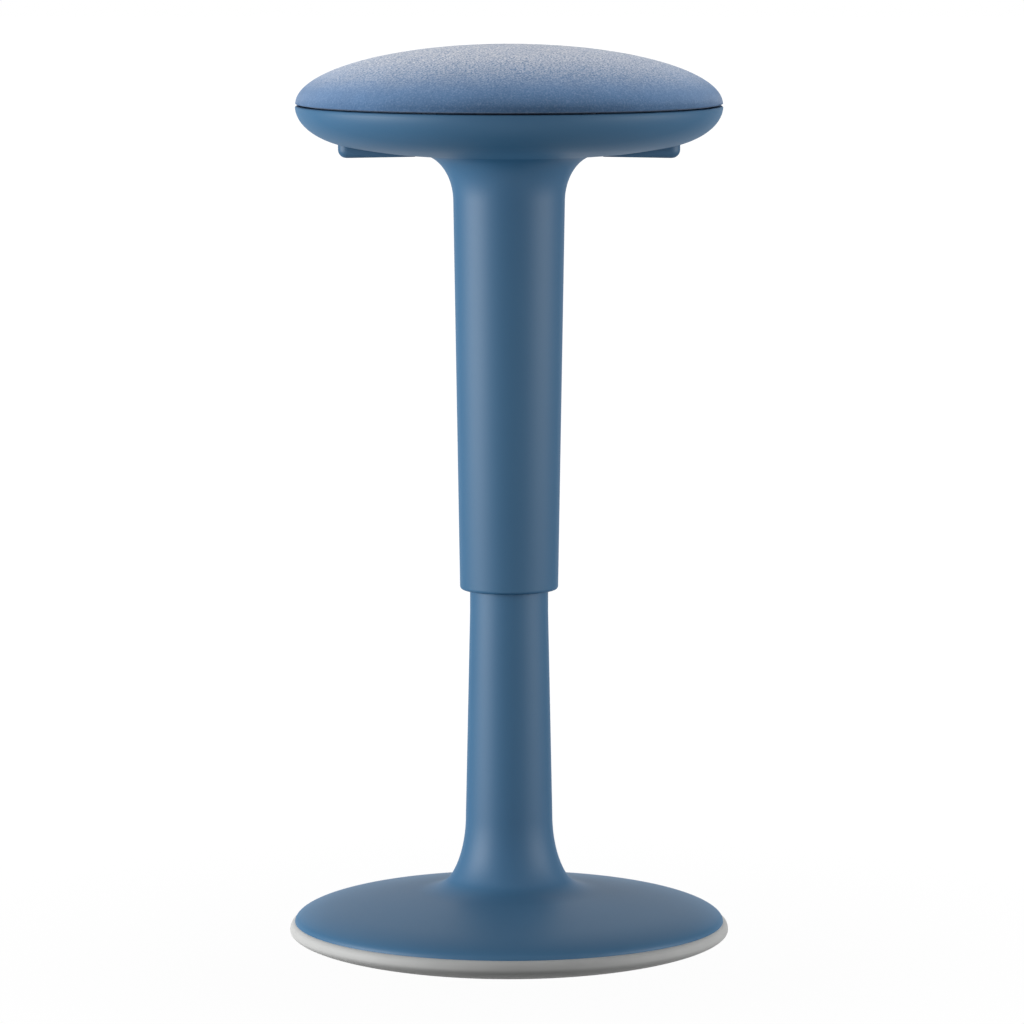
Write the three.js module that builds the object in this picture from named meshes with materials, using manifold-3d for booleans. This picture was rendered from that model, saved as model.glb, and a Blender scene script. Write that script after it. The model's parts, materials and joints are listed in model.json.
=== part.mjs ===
// A height-adjustable wobble stool: a round padded seat on a gas lift that telescopes inside a
// tapered sleeve, over a heavy domed base whose rubber sole is convex, so that the stool rocks.
// Millimetres, +Z up, origin on the floor under the middle of the sole.
import * as THREE from "three";
import { mergeVertices } from "three/addons/utils/BufferGeometryUtils.js";
import Module from "manifold-3d";

const wasm = await Module();
wasm.setup();

// Clearances
const SEAT_GAP = 0.3; // between pieces that rest on or against each other
const PIN_GAP = 0.1; // round a pin in its hole
const THREAD_GAP = 0.2; // round a screw's shank in its boss
const LEVER_GAP = 1.5; // round a grip in its window
const CUT_OVERRUN = 1; // how far a cutter passes the faces it cuts

// How finely round pieces are faceted
const LARGE_SIDES = 36;
const HIDDEN_SIDES = 24;
const CROWN_STEPS = 13;
const LINING_STEPS = 6;
const SMALL_SIDES = 16;
const SCREW_SIDES = 8;

// The convex sole
const SOLE_SPHERE_RADIUS = 774;
const SOLE_FLAT_RADIUS = 40;

// Grip pad in the middle of the sole
const PAD_RADIUS = 60;
const PAD_THICKNESS = 4.6;
const PAD_GROOVE_WIDTH = 3;
const PAD_GROOVE_DEPTH = 1.5;
const PAD_GROOVE_PITCH = 13;
const PAD_GROOVES = 2;

// Domed base moulding and its lower column
const BASE_RADIUS = 182.9;
const RIM_RISE = 14.6; // of the moulding's rim above the line of the sole
const RIM_ROUND_WIDTH = 36.7;
const RIM_ROUND_HEIGHT = 8.9;
const DOME_SPHERE_RADIUS = 822;
const DOME_RISE = 9.9; // of the dome's sphere above the rim, at the moulding's edge
const BASE_WALL = 3;
const FLARE_RISE = 64.7; // from the dome up to where the flare meets the column
const FLARE_REACH = 30.5;
const FOOT_RADIUS = 36.9;
const COLUMN_RADIUS = 33.2;
const COLUMN_TAPER_DROP = 18.8; // from the sleeve's lip down to the end of the column's taper
const COLUMN_OVERLAP = 85; // how far the column reaches up inside the sleeve at full height

// Rubber tread ring round the edge of the base
const TREAD_WIDTH = 35.5; // from the moulding's edge in to the ring's
const TREAD_SOLE_WIDTH = 6; // along the sole, before the ring turns up
const TREAD_THICKNESS = 4;
const TREAD_BULGE = 4.3;
const TREAD_WIDEST_DROP = 7; // from the rim down to the ring's widest line
const TREAD_CORNER_SHARE = 1.05; // how steeply it turns up, to the slope of the sole
const TREAD_TOP_LIP = 3.4;

// Bottom cover and its screws
const COVER_WALL = 3.4;
const COVER_SCREWS = 5;
const COVER_SCREW_INSET = 50; // of the screws' circle from the moulding's edge
const COVER_BOSS_RADIUS = 8;
const COVER_BOSS_HEIGHT = 3.4; // above the seat of the screw's head
const COVER_SCREW_HEAD_RADIUS = 4.4;
const COVER_SCREW_HEAD_HEIGHT = 1.9;
const COVER_SCREW_HEAD_LIFT = 1; // how far the heads stand in from the sole
const COVER_SCREW_RADIUS = 2;
const COVER_SCREW_LENGTH = 19;
const BASE_BOSS_RADIUS = 6.5;

// Cast counterweight with the socket for the stand tube
const WEIGHT_CLEARANCE = 1.5; // between its edge and the cover's bosses
const WEIGHT_TOP_HEIGHT = 23;
const HUB_RADIUS = 34;
const HUB_TOP_HEIGHT = 60;
const HUB_FILLET = 4;
const HUB_DRAIN_RADIUS = 18;
const HUB_LEDGE_HEIGHT = 20;

// Stand tube of the gas lift
const TUBE_RADIUS = 25;
const TUBE_TAPER = 0.8; // how much slimmer the tube is at its lower end
const TUBE_WALL = 2;
const TUBE_END_THICKNESS = 4;
const TUBE_TOP_DROP = 26; // below the top of the column

// Guide bush in the tube's mouth, and the cap that centres tube and column
const BUSH_LENGTH = 80;
const BUSH_FLANGE = 2.7;
const CAP_FLANGE = 2.5;
const CAP_SKIRT = 54;

// Piston rod, its thrust bearing, clip and buffer
const ROD_RADIUS = 5;
const ROD_TAIL = 5.8; // below the tube's end plate
const ROD_COLLAR_RADIUS = 7.5;
const ROD_COLLAR_HEIGHT = 3;
const CLIP_RADIUS = 9;
const CLIP_THICKNESS = 1.6;
const CLIP_GROOVE_DEPTH = 0.8;
const RACE_RADIUS = 16;
const RACE_THICKNESS = 2;
const BALL_RADIUS = 2.1;
const BALLS = 6;
const CAGE_THICKNESS = 1.4;
const BUFFER_RADIUS = 13;
const BUFFER_HEIGHT = 12;
const BUFFER_CLEARANCE = 9; // left over the buffer when the seat is lowest

// Gas cylinder
const STROKE = 200;
const CYLINDER_RADIUS = 14;
const CYLINDER_WALL = 2.5;
const CYLINDER_LIP_HEIGHT = 2.5;
const CYLINDER_LIP_INSET = 2;
const GLAND_HEIGHT = 21;
const PISTON_HEIGHT = 14;
const PISTON_RING_DEPTH = 1.2;
const PISTON_CLEARANCE = 4; // between the piston and the gland at full height
const ROD_THREAD_LENGTH = 4;
const GAS_SPACE = 28; // between the piston and the end of the bore when the seat is lowest
const CYLINDER_TAPER_LENGTH = 33;
const CYLINDER_TAPER = 0.55;
const CYLINDER_CHAMFER = 1;
const VALVE_BORE_RADIUS = 3.2;
const VALVE_BORE_DEPTH = 54;

// Release pin
const PIN_TRAVEL = 3.15;
const PIN_CAP_RADIUS = 11;
const PIN_CAP_HEIGHT = 3;
const PIN_CAP_CHAMFER = 0.6;

// Tapered upper sleeve with its trumpet neck and flange
const LIP_HEIGHT = 320.8;
const LIP_RADIUS = 41.7;
const LIP_ROUND = 3;
const SLEEVE_WALL = 3.3;
const SLEEVE_LENGTH = 329.3; // from its lip to the foot of the neck
const NECK_RADIUS = 47.1;
const NECK_REACH = 28.7;
const NECK_RISE = 39.7;
const FLANGE_INSET = 67.5; // of the flange's edge from the shell's
const FLANGE_RISE = 4.5; // from the throat of the neck to the flange's edge
const FLANGE_SLOPE_SHARE = 0.38; // of that rise, made halfway out
const FLANGE_EDGE = 2.4;
const FLANGE_RIB_WIDTH = 2.6;
const FLANGE_SCREWS = 4;
const FLANGE_SCREW_CIRCLE = 53;
const FLANGE_BOSS_RADIUS = 5;

// Seat shell, the moulded bowl under the cushion
const SHELL_RADIUS = 180.2;
const SHELL_WALL = 3;
const SHELL_HEIGHT = 33.7; // from its floor to its rim
const SHELL_DEPTH = 35.6; // of its curved side below the rim
const SHELL_CURVE_WIDTH = 63;
const SHELL_LINING_SHARE = 3.2; // quarter turns at which the inside of that curve starts
const SHELL_MOUTH_RADIUS = 46;
const SHELL_RIBS = 6;
const SHELL_RIB_WIDTH = 2.4;

// Pressed steel seat pan and the taper socket welded into it
const PAN_THICKNESS = 3;
const PAN_FLOOR_RADIUS = 62;
const PAN_SHOULDER_SHARE = 0.39; // of the way from its floor's edge to its rim
const PAN_INSET = 4.7; // of its rim from the sleeve's flange
const PAN_WINDOW_WIDTH = 26;
const SOCKET_RADIUS = 19.5;
const SOCKET_BELOW = 24.3; // below the pan's floor
const SOCKET_ABOVE = 4.7; // above it
const SOCKET_FLANGE_RADIUS = 26;
const SOCKET_FLANGE_THICKNESS = 3.4;

// Release levers, their brackets and pivots
const PIVOT_REACH = 30; // from the lift's axis
const PIVOT_DROP = 8; // below the board
const PIVOT_RADIUS = 2.5;
const PIVOT_HEAD_RADIUS = 4;
const PIVOT_HEAD_HEIGHT = 2;
const LEVER_BOSS_RADIUS = 5.5;
const NOSE_RADIUS = 3;
const ARM_WIDTH = 18;
const ARM_THICKNESS = 4.4;
const ARM_TONGUE_WIDTH = 8.4;
const ARM_FORK_GAP = 11;
const ARM_NOSE_OVERHANG = 7; // how far the fork and tongue are parted beyond the nose
const ARM_ELBOW_REACH = 42;
const ARM_KNEE_INSET = 7.5; // of the arm's knee from the grip's inner end
const ARM_END_OVERHANG = 16; // of the arm past the grip's screw
const ARM_END_DROP = 17; // of the outer end below the pivot
const BRACKET_THICKNESS = 2.5;
const BRACKET_LENGTH = 14;
const BRACKET_EAR_TOP = 4.6; // above the pivot
const GRIP_INNER_REACH = 78.5;
const GRIP_INSET = 36.7; // of its outer end from the shell's edge
const GRIP_WIDTH = 60;
const GRIP_END_ROUND = 9;
const GRIP_TOE_ROUND = 9;
const GRIP_WALL = 2.5;
const GRIP_DEPTH = 14.3; // from its rim inside the shell to its underside
const GRIP_SLOPE = 1.6; // how much lower its outer end hangs
const GRIP_BOSS_RADIUS = 6;
const GRIP_SCREW_RADIUS = 1.6;
const GRIP_SCREW_LENGTH = 10;
const WINDOW_INNER_GAP = 2; // between a grip's inner end and its window
const WINDOW_OUTER_GAP = 3.4;

// Cushion: board, foam and fabric cover
const CUSHION_INSET = 0.2; // of the cushion's edge from the shell's
const COVER_EDGE_LIFT = 2.5; // from the shell's rim to the cushion's widest line
const CUSHION_CROWN = 49.2;
const FABRIC_THICKNESS = 1.2;
const FABRIC_TURN_WIDTH = 22; // how far it is turned in under the board
const FABRIC_EDGE_ROUND = 4;
const BOARD_INSET = 8.5; // of the board's edge from the shell's
const BOARD_THICKNESS = 10;

// Seat screws and tee nuts
const BOARD_SCREWS = 4;
const BOARD_SCREW_RADIUS = 2.9;
const BOARD_SCREW_LENGTH = 11;
const BOARD_SCREW_HEAD_RADIUS = 5.5;
const BOARD_SCREW_HEAD_HEIGHT = 4;
const FLANGE_SCREW_RADIUS = 2.1;
const FLANGE_SCREW_LENGTH = 18;
const FLANGE_SCREW_HEAD_RADIUS = 4.2;
const FLANGE_SCREW_HEAD_HEIGHT = 3;
const GRIP_SCREW_HEAD_RADIUS = 3.2;
const GRIP_SCREW_HEAD_HEIGHT = 2;
const TEE_BARREL_RADIUS = 4.2;
const TEE_FLANGE_RADIUS = 9.7;
const TEE_FLANGE_THICKNESS = 1.2;

// Places in the base that follow from the sizes above
const treadEdge = BASE_RADIUS + TREAD_BULGE;
const treadInner = BASE_RADIUS - TREAD_WIDTH;
const treadTurn = treadInner + TREAD_SOLE_WIDTH;
const treadInnerWall = BASE_RADIUS - TREAD_TOP_LIP;
const treadCorner = treadInnerWall - TREAD_THICKNESS;
const rimHeight = soleHeight(BASE_RADIUS) + RIM_RISE;
const treadWidest = rimHeight - TREAD_WIDEST_DROP;
const domeCentre = rimHeight + DOME_RISE - Math.sqrt(DOME_SPHERE_RADIUS ** 2 - BASE_RADIUS ** 2);
const flareFoot = FOOT_RADIUS + FLARE_REACH;
const flareTop = domeHeight(flareFoot) + FLARE_RISE;
const columnTaperTop = LIP_HEIGHT - COLUMN_TAPER_DROP;
const columnTop = LIP_HEIGHT + COLUMN_OVERLAP;
const coverFloor = PAD_THICKNESS + SEAT_GAP;
const coverFloorTop = coverFloor + COVER_WALL;
const coverFlatRadius = soleRadius(coverFloor);
const coverShoulder = treadInner - SEAT_GAP - COVER_WALL;
const coverScrewCircle = BASE_RADIUS - COVER_SCREW_INSET;
const coverScrewHead = soleHeight(coverScrewCircle) + COVER_SCREW_HEAD_LIFT;
const coverScrewSeat = coverScrewHead + COVER_SCREW_HEAD_HEIGHT;
const coverBossTop = coverScrewSeat + SEAT_GAP + COVER_BOSS_HEIGHT;
const weightRadius = coverScrewCircle - COVER_BOSS_RADIUS - WEIGHT_CLEARANCE;

// Heights along the gas lift
const tubeTop = columnTop - TUBE_TOP_DROP;
const tubeBottom = HUB_LEDGE_HEIGHT + SEAT_GAP;
const tubeFloor = tubeBottom + TUBE_END_THICKNESS;
const lowerRaceBottom = tubeFloor + SEAT_GAP;
const cageBottom = lowerRaceBottom + RACE_THICKNESS + SEAT_GAP;
const upperRaceBottom = cageBottom + 2 * BALL_RADIUS + SEAT_GAP;
const collarBottom = upperRaceBottom + RACE_THICKNESS + SEAT_GAP;
const bufferBottom = collarBottom + ROD_COLLAR_HEIGHT + SEAT_GAP;
const cylinderBottom = bufferBottom + BUFFER_HEIGHT + BUFFER_CLEARANCE + STROKE;
const glandBottom = cylinderBottom + CYLINDER_LIP_HEIGHT + SEAT_GAP;
const pistonBottom = glandBottom + GLAND_HEIGHT + PISTON_CLEARANCE;
const pistonTop = pistonBottom + PISTON_HEIGHT;
const boreTop = pistonTop + ROD_THREAD_LENGTH + STROKE + GAS_SPACE;

// Places in the seat, whose pieces keep to the edge of its shell
const neckHeight = LIP_HEIGHT + SLEEVE_LENGTH;
const throatHeight = neckHeight + NECK_RISE;
const throatRadius = NECK_RADIUS + NECK_REACH;
const flangeRadius = SHELL_RADIUS - FLANGE_INSET;
const flangeEdgeHeight = throatHeight + FLANGE_RISE;
const flangeTop = flangeEdgeHeight + FLANGE_EDGE;
const shellFloor = flangeTop + SEAT_GAP;
const shellFloorEdge = flangeRadius + SEAT_GAP;
const seamHeight = shellFloor + SHELL_HEIGHT;
const panFloor = shellFloor + SHELL_WALL + SEAT_GAP;
const panFloorTop = panFloor + PAN_THICKNESS;
const panRadius = flangeRadius - PAN_INSET;
const panShoulder = PAN_FLOOR_RADIUS + (panRadius - PAN_FLOOR_RADIUS) * PAN_SHOULDER_SHARE;
const boardScrewCircle = (panShoulder + panRadius) / 2;
const socketBottom = panFloor - SOCKET_BELOW;
const socketTop = panFloorTop + SOCKET_ABOVE;
const cushionRadius = SHELL_RADIUS - CUSHION_INSET;
const cushionEdge = seamHeight + COVER_EDGE_LIFT;
const boardRadius = SHELL_RADIUS - BOARD_INSET;
const boardBottom = seamHeight + SEAT_GAP;
const boardTop = boardBottom + BOARD_THICKNESS;
const fabricTurnRadius = boardRadius - FABRIC_TURN_WIDTH;
const fabricTurnTop = boardBottom + FABRIC_THICKNESS;
const panRimTop = boardBottom - SEAT_GAP;

// Places in the release, from its pivots to the pin and to the grips
const pivotHeight = boardBottom - PIVOT_DROP;
const noseHeight = pivotHeight + SEAT_GAP;
const pinCapTop = noseHeight - NOSE_RADIUS - SEAT_GAP;
const cylinderTop = pinCapTop - PIN_CAP_HEIGHT - PIN_TRAVEL - SEAT_GAP;
const gripOuterReach = SHELL_RADIUS - GRIP_INSET;
const gripScrewReach = (GRIP_INNER_REACH + gripOuterReach) / 2;
const windowInnerReach = GRIP_INNER_REACH - WINDOW_INNER_GAP;
const windowOuterReach = gripOuterReach + WINDOW_OUTER_GAP;
const armKneeReach = GRIP_INNER_REACH + ARM_KNEE_INSET;
const armEndReach = gripScrewReach + ARM_END_OVERHANG;
const armEndHeight = pivotHeight - ARM_END_DROP;
const gripSeat = armEndHeight - ARM_THICKNESS / 2 - SEAT_GAP;
const gripUnderside = gripSeat - GRIP_DEPTH;

// Finishes
const finishes = {
  bluePlastic: { color: 0x47749a, roughness: 0.5, metalness: 0 },
  greyRubber: { color: 0xb9bbbb, roughness: 0.75, metalness: 0 },
  darkPlastic: { color: 0x33373b, roughness: 0.6, metalness: 0 },
  castIron: { color: 0x2c2d2f, roughness: 0.8, metalness: 0.6 },
  blackSteel: { color: 0x1d1f21, roughness: 0.45, metalness: 0.7 },
  brightSteel: { color: 0xb8bcc0, roughness: 0.25, metalness: 1 },
  whiteAcetal: { color: 0xe6e6e2, roughness: 0.4, metalness: 0 },
  blackRubber: { color: 0x1b1b1c, roughness: 0.9, metalness: 0 },
  zincSteel: { color: 0x9a9da1, roughness: 0.4, metalness: 0.9 },
  plywood: { color: 0xc9a878, roughness: 0.7, metalness: 0 },
  foam: { color: 0xe9e2c8, roughness: 1, metalness: 0 },
  blueFelt: { color: 0x7f93b8, roughness: 1, metalness: 0 },
};

const stool = new THREE.Group();

function addPiece(name, geometry, finish) {
  const piece = new THREE.Mesh(geometry, new THREE.MeshStandardMaterial(finishes[finish]));
  piece.name = name;
  stool.add(piece);
}

// A profile of [radius, height] pairs turned round the Z axis. It starts and ends on the axis,
// or else it is closed into a ring.
function turned(profile, sides) {
  const points = profile.map(([radius, height]) => new THREE.Vector2(radius, height));
  const first = points[0];
  const last = points[points.length - 1];
  if (THREE.ShapeUtils.area(points) < 0) points.reverse();
  if (first.x > 0 || last.x > 0) points.push(points[0].clone());
  return new THREE.LatheGeometry(points, sides).rotateX(Math.PI / 2);
}

// Points of an ellipse's arc, from one angle to another, both in quarter turns.
function arc(centreX, centreY, radiusX, radiusY, from, to, steps) {
  return Array.from({ length: steps + 1 }, (_, i) => {
    const angle = ((from + ((to - from) * i) / steps) * Math.PI) / 2;
    return [centreX + radiusX * Math.cos(angle), centreY + radiusY * Math.sin(angle)];
  });
}

// Points of a curve that leaves the first point towards the middle one and ends at the last.
function bend(start, corner, end, steps) {
  const curve = new THREE.QuadraticBezierCurve(
    new THREE.Vector2(...start),
    new THREE.Vector2(...corner),
    new THREE.Vector2(...end),
  );
  return curve.getPoints(steps).map((p) => [p.x, p.y]);
}

function outline(points) {
  return new THREE.Shape(points.map(([x, y]) => new THREE.Vector2(x, y)));
}

// An outline in the XY plane, made solid from one height to another.
function standing(points, bottom, top) {
  const shape = new THREE.ExtrudeGeometry(outline(points), { depth: top - bottom, bevelEnabled: false });
  return shape.translate(0, 0, bottom);
}

// An outline of [x, z] pairs, made solid across Y to the given width, centred.
function across(points, width) {
  const shape = new THREE.ExtrudeGeometry(outline(points), { depth: width, bevelEnabled: false });
  return shape.rotateX(Math.PI / 2).translate(0, width / 2, 0);
}

function block(fromX, toX, fromY, toY, fromZ, toZ) {
  const box = new THREE.BoxGeometry(toX - fromX, toY - fromY, toZ - fromZ);
  return box.translate((fromX + toX) / 2, (fromY + toY) / 2, (fromZ + toZ) / 2);
}

function post(radius, bottom, top, sides) {
  return turned([[0, bottom], [radius, bottom], [radius, top], [0, top]], sides);
}

// A round bar along Y through a point of the XZ plane.
function crossbar(x, z, radius, length, sides) {
  return new THREE.CylinderGeometry(radius, radius, length, sides).translate(x, 0, z);
}

function solidOf(geometry) {
  const bare = geometry.clone();
  bare.deleteAttribute("normal");
  bare.deleteAttribute("uv");
  const merged = mergeVertices(bare);
  const corners = merged.index.array;
  const faces = [];
  for (let i = 0; i < corners.length; i += 3) {
    const [a, b, c] = [corners[i], corners[i + 1], corners[i + 2]];
    if (a !== b && b !== c && c !== a) faces.push(a, b, c);
  }
  return new wasm.Manifold(
    new wasm.Mesh({
      numProp: 3,
      vertProperties: merged.attributes.position.array,
      triVerts: new Uint32Array(faces),
    }),
  );
}

function geometryOf(solid) {
  const mesh = solid.getMesh();
  const geometry = new THREE.BufferGeometry();
  geometry.setAttribute("position", new THREE.BufferAttribute(new Float32Array(mesh.vertProperties), 3));
  geometry.setIndex(new THREE.BufferAttribute(new Uint32Array(mesh.triVerts), 1));
  geometry.computeVertexNormals();
  return geometry;
}

const joined = (...pieces) => geometryOf(pieces.map(solidOf).reduce((a, b) => a.add(b)));
const without = (piece, ...cutters) => geometryOf(cutters.map(solidOf).reduce((a, b) => a.subtract(b), solidOf(piece)));
const shared = (a, b) => geometryOf(solidOf(a).intersect(solidOf(b)));

// Copies of a piece set out on a circle, the first one turned by the start angle.
function ringOf(count, start, make) {
  return Array.from({ length: count }, (_, i) => make().rotateZ(start + (i * 2 * Math.PI) / count));
}

// A pan-head screw standing on its tip, head up.
function screw(radius, length, headRadius, headHeight) {
  const top = length + headHeight;
  return turned(
    [
      [0, 0],
      [radius, 0],
      [radius, length],
      [headRadius, length],
      [headRadius, top],
      [0, top],
    ],
    SCREW_SIDES,
  );
}

// How far the sole's sphere has risen at a radius.
function soleSag(radius) {
  return SOLE_SPHERE_RADIUS - Math.sqrt(SOLE_SPHERE_RADIUS ** 2 - radius ** 2);
}

// Height of the sole's outer surface at a radius.
function soleHeight(radius) {
  return Math.max(0, soleSag(radius) - soleSag(SOLE_FLAT_RADIUS));
}

// Radius at which the sole's outer surface reaches a height.
function soleRadius(height) {
  const fromCentre = SOLE_SPHERE_RADIUS - soleSag(SOLE_FLAT_RADIUS) - height;
  return Math.sqrt(SOLE_SPHERE_RADIUS ** 2 - fromCentre ** 2);
}

function soleCurve(from, to, steps) {
  return Array.from({ length: steps + 1 }, (_, i) => {
    const radius = from + ((to - from) * i) / steps;
    return [radius, soleHeight(radius)];
  });
}

// Height of the dome's sphere at a radius.
function domeHeight(radius) {
  return domeCentre + Math.sqrt(DOME_SPHERE_RADIUS ** 2 - radius ** 2);
}

const diagonal = Math.PI / 4;

// Grip pad: a rubber disc with ring grooves, flat where the stool stands on it.
function gripPad() {
  const underside = [[0, 0]];
  for (let i = 0; i < PAD_GROOVES; i++) {
    const inner = PAD_GROOVE_PITCH * (i + 1);
    const outer = inner + PAD_GROOVE_WIDTH;
    underside.push([inner, 0], [inner, PAD_GROOVE_DEPTH], [outer, PAD_GROOVE_DEPTH], [outer, 0]);
  }
  const edge = soleCurve(SOLE_FLAT_RADIUS, PAD_RADIUS, 2);
  return turned([...underside, ...edge, [PAD_RADIUS, PAD_THICKNESS], [0, PAD_THICKNESS]], HIDDEN_SIDES);
}

// Tread ring: grey rubber from the sole round the edge up to the base moulding.
function treadRing() {
  const slope = (TREAD_CORNER_SHARE * treadTurn) / SOLE_SPHERE_RADIUS;
  const cornerHeight = soleHeight(treadTurn) + (treadEdge - treadTurn) * slope;
  return turned(
    [
      ...soleCurve(treadInner, treadTurn, 1),
      ...bend([treadTurn, soleHeight(treadTurn)], [treadEdge, cornerHeight], [treadEdge, treadWidest], 4).slice(1),
      ...bend(
        [treadEdge, treadWidest],
        [treadEdge, rimHeight - TREAD_BULGE / 3],
        [BASE_RADIUS, rimHeight],
        2,
      ).slice(1),
      [treadInnerWall, rimHeight],
      [treadInnerWall, soleHeight(treadInnerWall) + 2 * TREAD_THICKNESS],
      [treadCorner, soleHeight(treadCorner) + TREAD_THICKNESS],
      [treadInner, soleHeight(treadInner) + TREAD_THICKNESS],
    ],
    LARGE_SIDES,
  );
}

// Height of the cover's inner face at a radius: flat in the middle, then rising with the sole.
function coverInside(radius) {
  const rise = soleHeight(coverShoulder) + COVER_WALL - coverFloorTop;
  return coverFloorTop + (Math.max(0, radius - coverFlatRadius) * rise) / (coverShoulder - coverFlatRadius);
}

// Bottom cover: a dished plate, recessed for the pad and the tread, with raised screw bosses.
function bottomCover() {
  const recessEdge = PAD_RADIUS + SEAT_GAP;
  const treadStart = treadInner - SEAT_GAP;
  const wallOuter = treadInnerWall - SEAT_GAP;
  const wallInner = wallOuter - COVER_WALL;
  const overTread = (radius) => soleHeight(radius) + TREAD_THICKNESS + SEAT_GAP;
  const dish = turned(
    [
      [0, coverFloor],
      [recessEdge, coverFloor],
      ...soleCurve(recessEdge, treadStart, 2),
      [treadStart, overTread(treadStart)],
      [treadCorner, overTread(treadCorner)],
      [wallOuter, overTread(wallOuter) + TREAD_THICKNESS],
      [wallOuter, rimHeight],
      [wallInner, rimHeight],
      [wallInner, overTread(wallInner) + COVER_WALL],
      [treadStart, overTread(treadStart) + COVER_WALL],
      [coverShoulder, coverInside(coverShoulder)],
      [coverFlatRadius, coverFloorTop],
      [0, coverFloorTop],
    ],
    LARGE_SIDES,
  );
  const headSeat = coverScrewSeat + SEAT_GAP;
  const boss = () => post(COVER_BOSS_RADIUS, headSeat, coverBossTop, SCREW_SIDES).translate(coverScrewCircle, 0, 0);
  const hole = () =>
    turned(
      [
        [0, -CUT_OVERRUN],
        [COVER_SCREW_HEAD_RADIUS + SEAT_GAP, -CUT_OVERRUN],
        [COVER_SCREW_HEAD_RADIUS + SEAT_GAP, headSeat],
        [COVER_SCREW_RADIUS + SEAT_GAP, headSeat],
        [COVER_SCREW_RADIUS + SEAT_GAP, coverBossTop + CUT_OVERRUN],
        [0, coverBossTop + CUT_OVERRUN],
      ],
      SCREW_SIDES,
    ).translate(coverScrewCircle, 0, 0);
  return without(joined(dish, ...ringOf(COVER_SCREWS, 0, boss)), ...ringOf(COVER_SCREWS, 0, hole));
}

// The cover screws' heads stand just inside the sole.
function coverScrews() {
  return ringOf(COVER_SCREWS, 0, () =>
    screw(COVER_SCREW_RADIUS, COVER_SCREW_LENGTH, COVER_SCREW_HEAD_RADIUS, COVER_SCREW_HEAD_HEIGHT)
      .rotateX(Math.PI)
      .translate(coverScrewCircle, 0, coverScrewSeat + COVER_SCREW_LENGTH),
  );
}

// The outside of the base moulding from its rim to the top of its column. The inside is the
// same line, moved in by the wall.
function baseLine(wall, steps) {
  const roundStart = BASE_RADIUS - RIM_ROUND_WIDTH;
  const dome = Array.from({ length: steps - 2 }, (_, i) => {
    const radius = roundStart + ((flareFoot - roundStart) * (i + 1)) / (steps - 1);
    return [radius, domeHeight(radius) - wall];
  });
  return [
    ...bend(
      [BASE_RADIUS - wall, rimHeight + SEAT_GAP],
      [BASE_RADIUS - wall, rimHeight + RIM_ROUND_HEIGHT - wall],
      [roundStart, domeHeight(roundStart) - wall],
      steps + 1,
    ),
    ...dome,
    ...arc(flareFoot, flareTop, FLARE_REACH + wall, FLARE_RISE + wall, 3, 2, steps + 2),
    [COLUMN_RADIUS - wall, columnTaperTop],
    [COLUMN_RADIUS - wall, columnTop],
  ];
}

// Base moulding: domed foot and lower column in one, hollow, with screw bosses and ribs inside.
function baseShell() {
  const floor = rimHeight + SEAT_GAP;
  const outer = turned([[0, floor], ...baseLine(0, 4), [0, columnTop]], LARGE_SIDES);
  const [rim, ...line] = baseLine(BASE_WALL, 2);
  const top = line.pop();
  const inner = turned(
    [
      [0, floor - CUT_OVERRUN],
      [rim[0], floor - CUT_OVERRUN],
      ...line,
      [top[0], columnTop + CUT_OVERRUN],
      [0, columnTop + CUT_OVERRUN],
    ],
    LARGE_SIDES,
  );
  const bossBottom = coverBossTop + SEAT_GAP;
  const boss = () =>
    post(BASE_BOSS_RADIUS, bossBottom, domeHeight(coverScrewCircle) - BASE_WALL / 2, SCREW_SIDES).translate(
      coverScrewCircle,
      0,
      0,
    );
  const web = () =>
    block(
      HUB_RADIUS + HUB_FILLET,
      coverScrewCircle,
      -BASE_WALL / 2,
      BASE_WALL / 2,
      WEIGHT_TOP_HEIGHT + SEAT_GAP,
      flareTop,
    );
  const bore = () =>
    post(
      COVER_SCREW_RADIUS + THREAD_GAP,
      bossBottom - CUT_OVERRUN,
      coverScrewSeat + COVER_SCREW_LENGTH + SEAT_GAP,
      SCREW_SIDES,
    ).translate(coverScrewCircle, 0, 0);
  const shell = solidOf(outer).subtract(solidOf(inner));
  const skin = solidOf(turned([[0, 0], [BASE_RADIUS, 0], ...baseLine(BASE_WALL / 2, 2), [0, columnTop]], LARGE_SIDES));
  const webs = ringOf(COVER_SCREWS, 0, web).map(solidOf);
  const bosses = ringOf(COVER_SCREWS, 0, boss).map(solidOf);
  const inside = [...webs, ...bosses].reduce((a, b) => a.add(b)).intersect(skin);
  const bores = ringOf(COVER_SCREWS, 0, bore).map(solidOf);
  return geometryOf(bores.reduce((a, b) => a.subtract(b), shell.add(inside)));
}

// Counterweight: a dished iron casting with the tapered socket for the stand tube.
function counterweight() {
  const bore = TUBE_RADIUS + SEAT_GAP;
  const underside = [HUB_DRAIN_RADIUS, coverFlatRadius, weightRadius]
    .filter((radius) => radius <= weightRadius)
    .map((radius) => [radius, coverInside(radius) + SEAT_GAP]);
  return turned(
    [
      ...underside,
      [weightRadius, WEIGHT_TOP_HEIGHT],
      [HUB_RADIUS + HUB_FILLET, WEIGHT_TOP_HEIGHT],
      [HUB_RADIUS, WEIGHT_TOP_HEIGHT + HUB_FILLET],
      [HUB_RADIUS, HUB_TOP_HEIGHT],
      [bore, HUB_TOP_HEIGHT],
      [bore - TUBE_TAPER, HUB_LEDGE_HEIGHT],
      [HUB_DRAIN_RADIUS, HUB_LEDGE_HEIGHT],
    ],
    LARGE_SIDES,
  );
}

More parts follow.
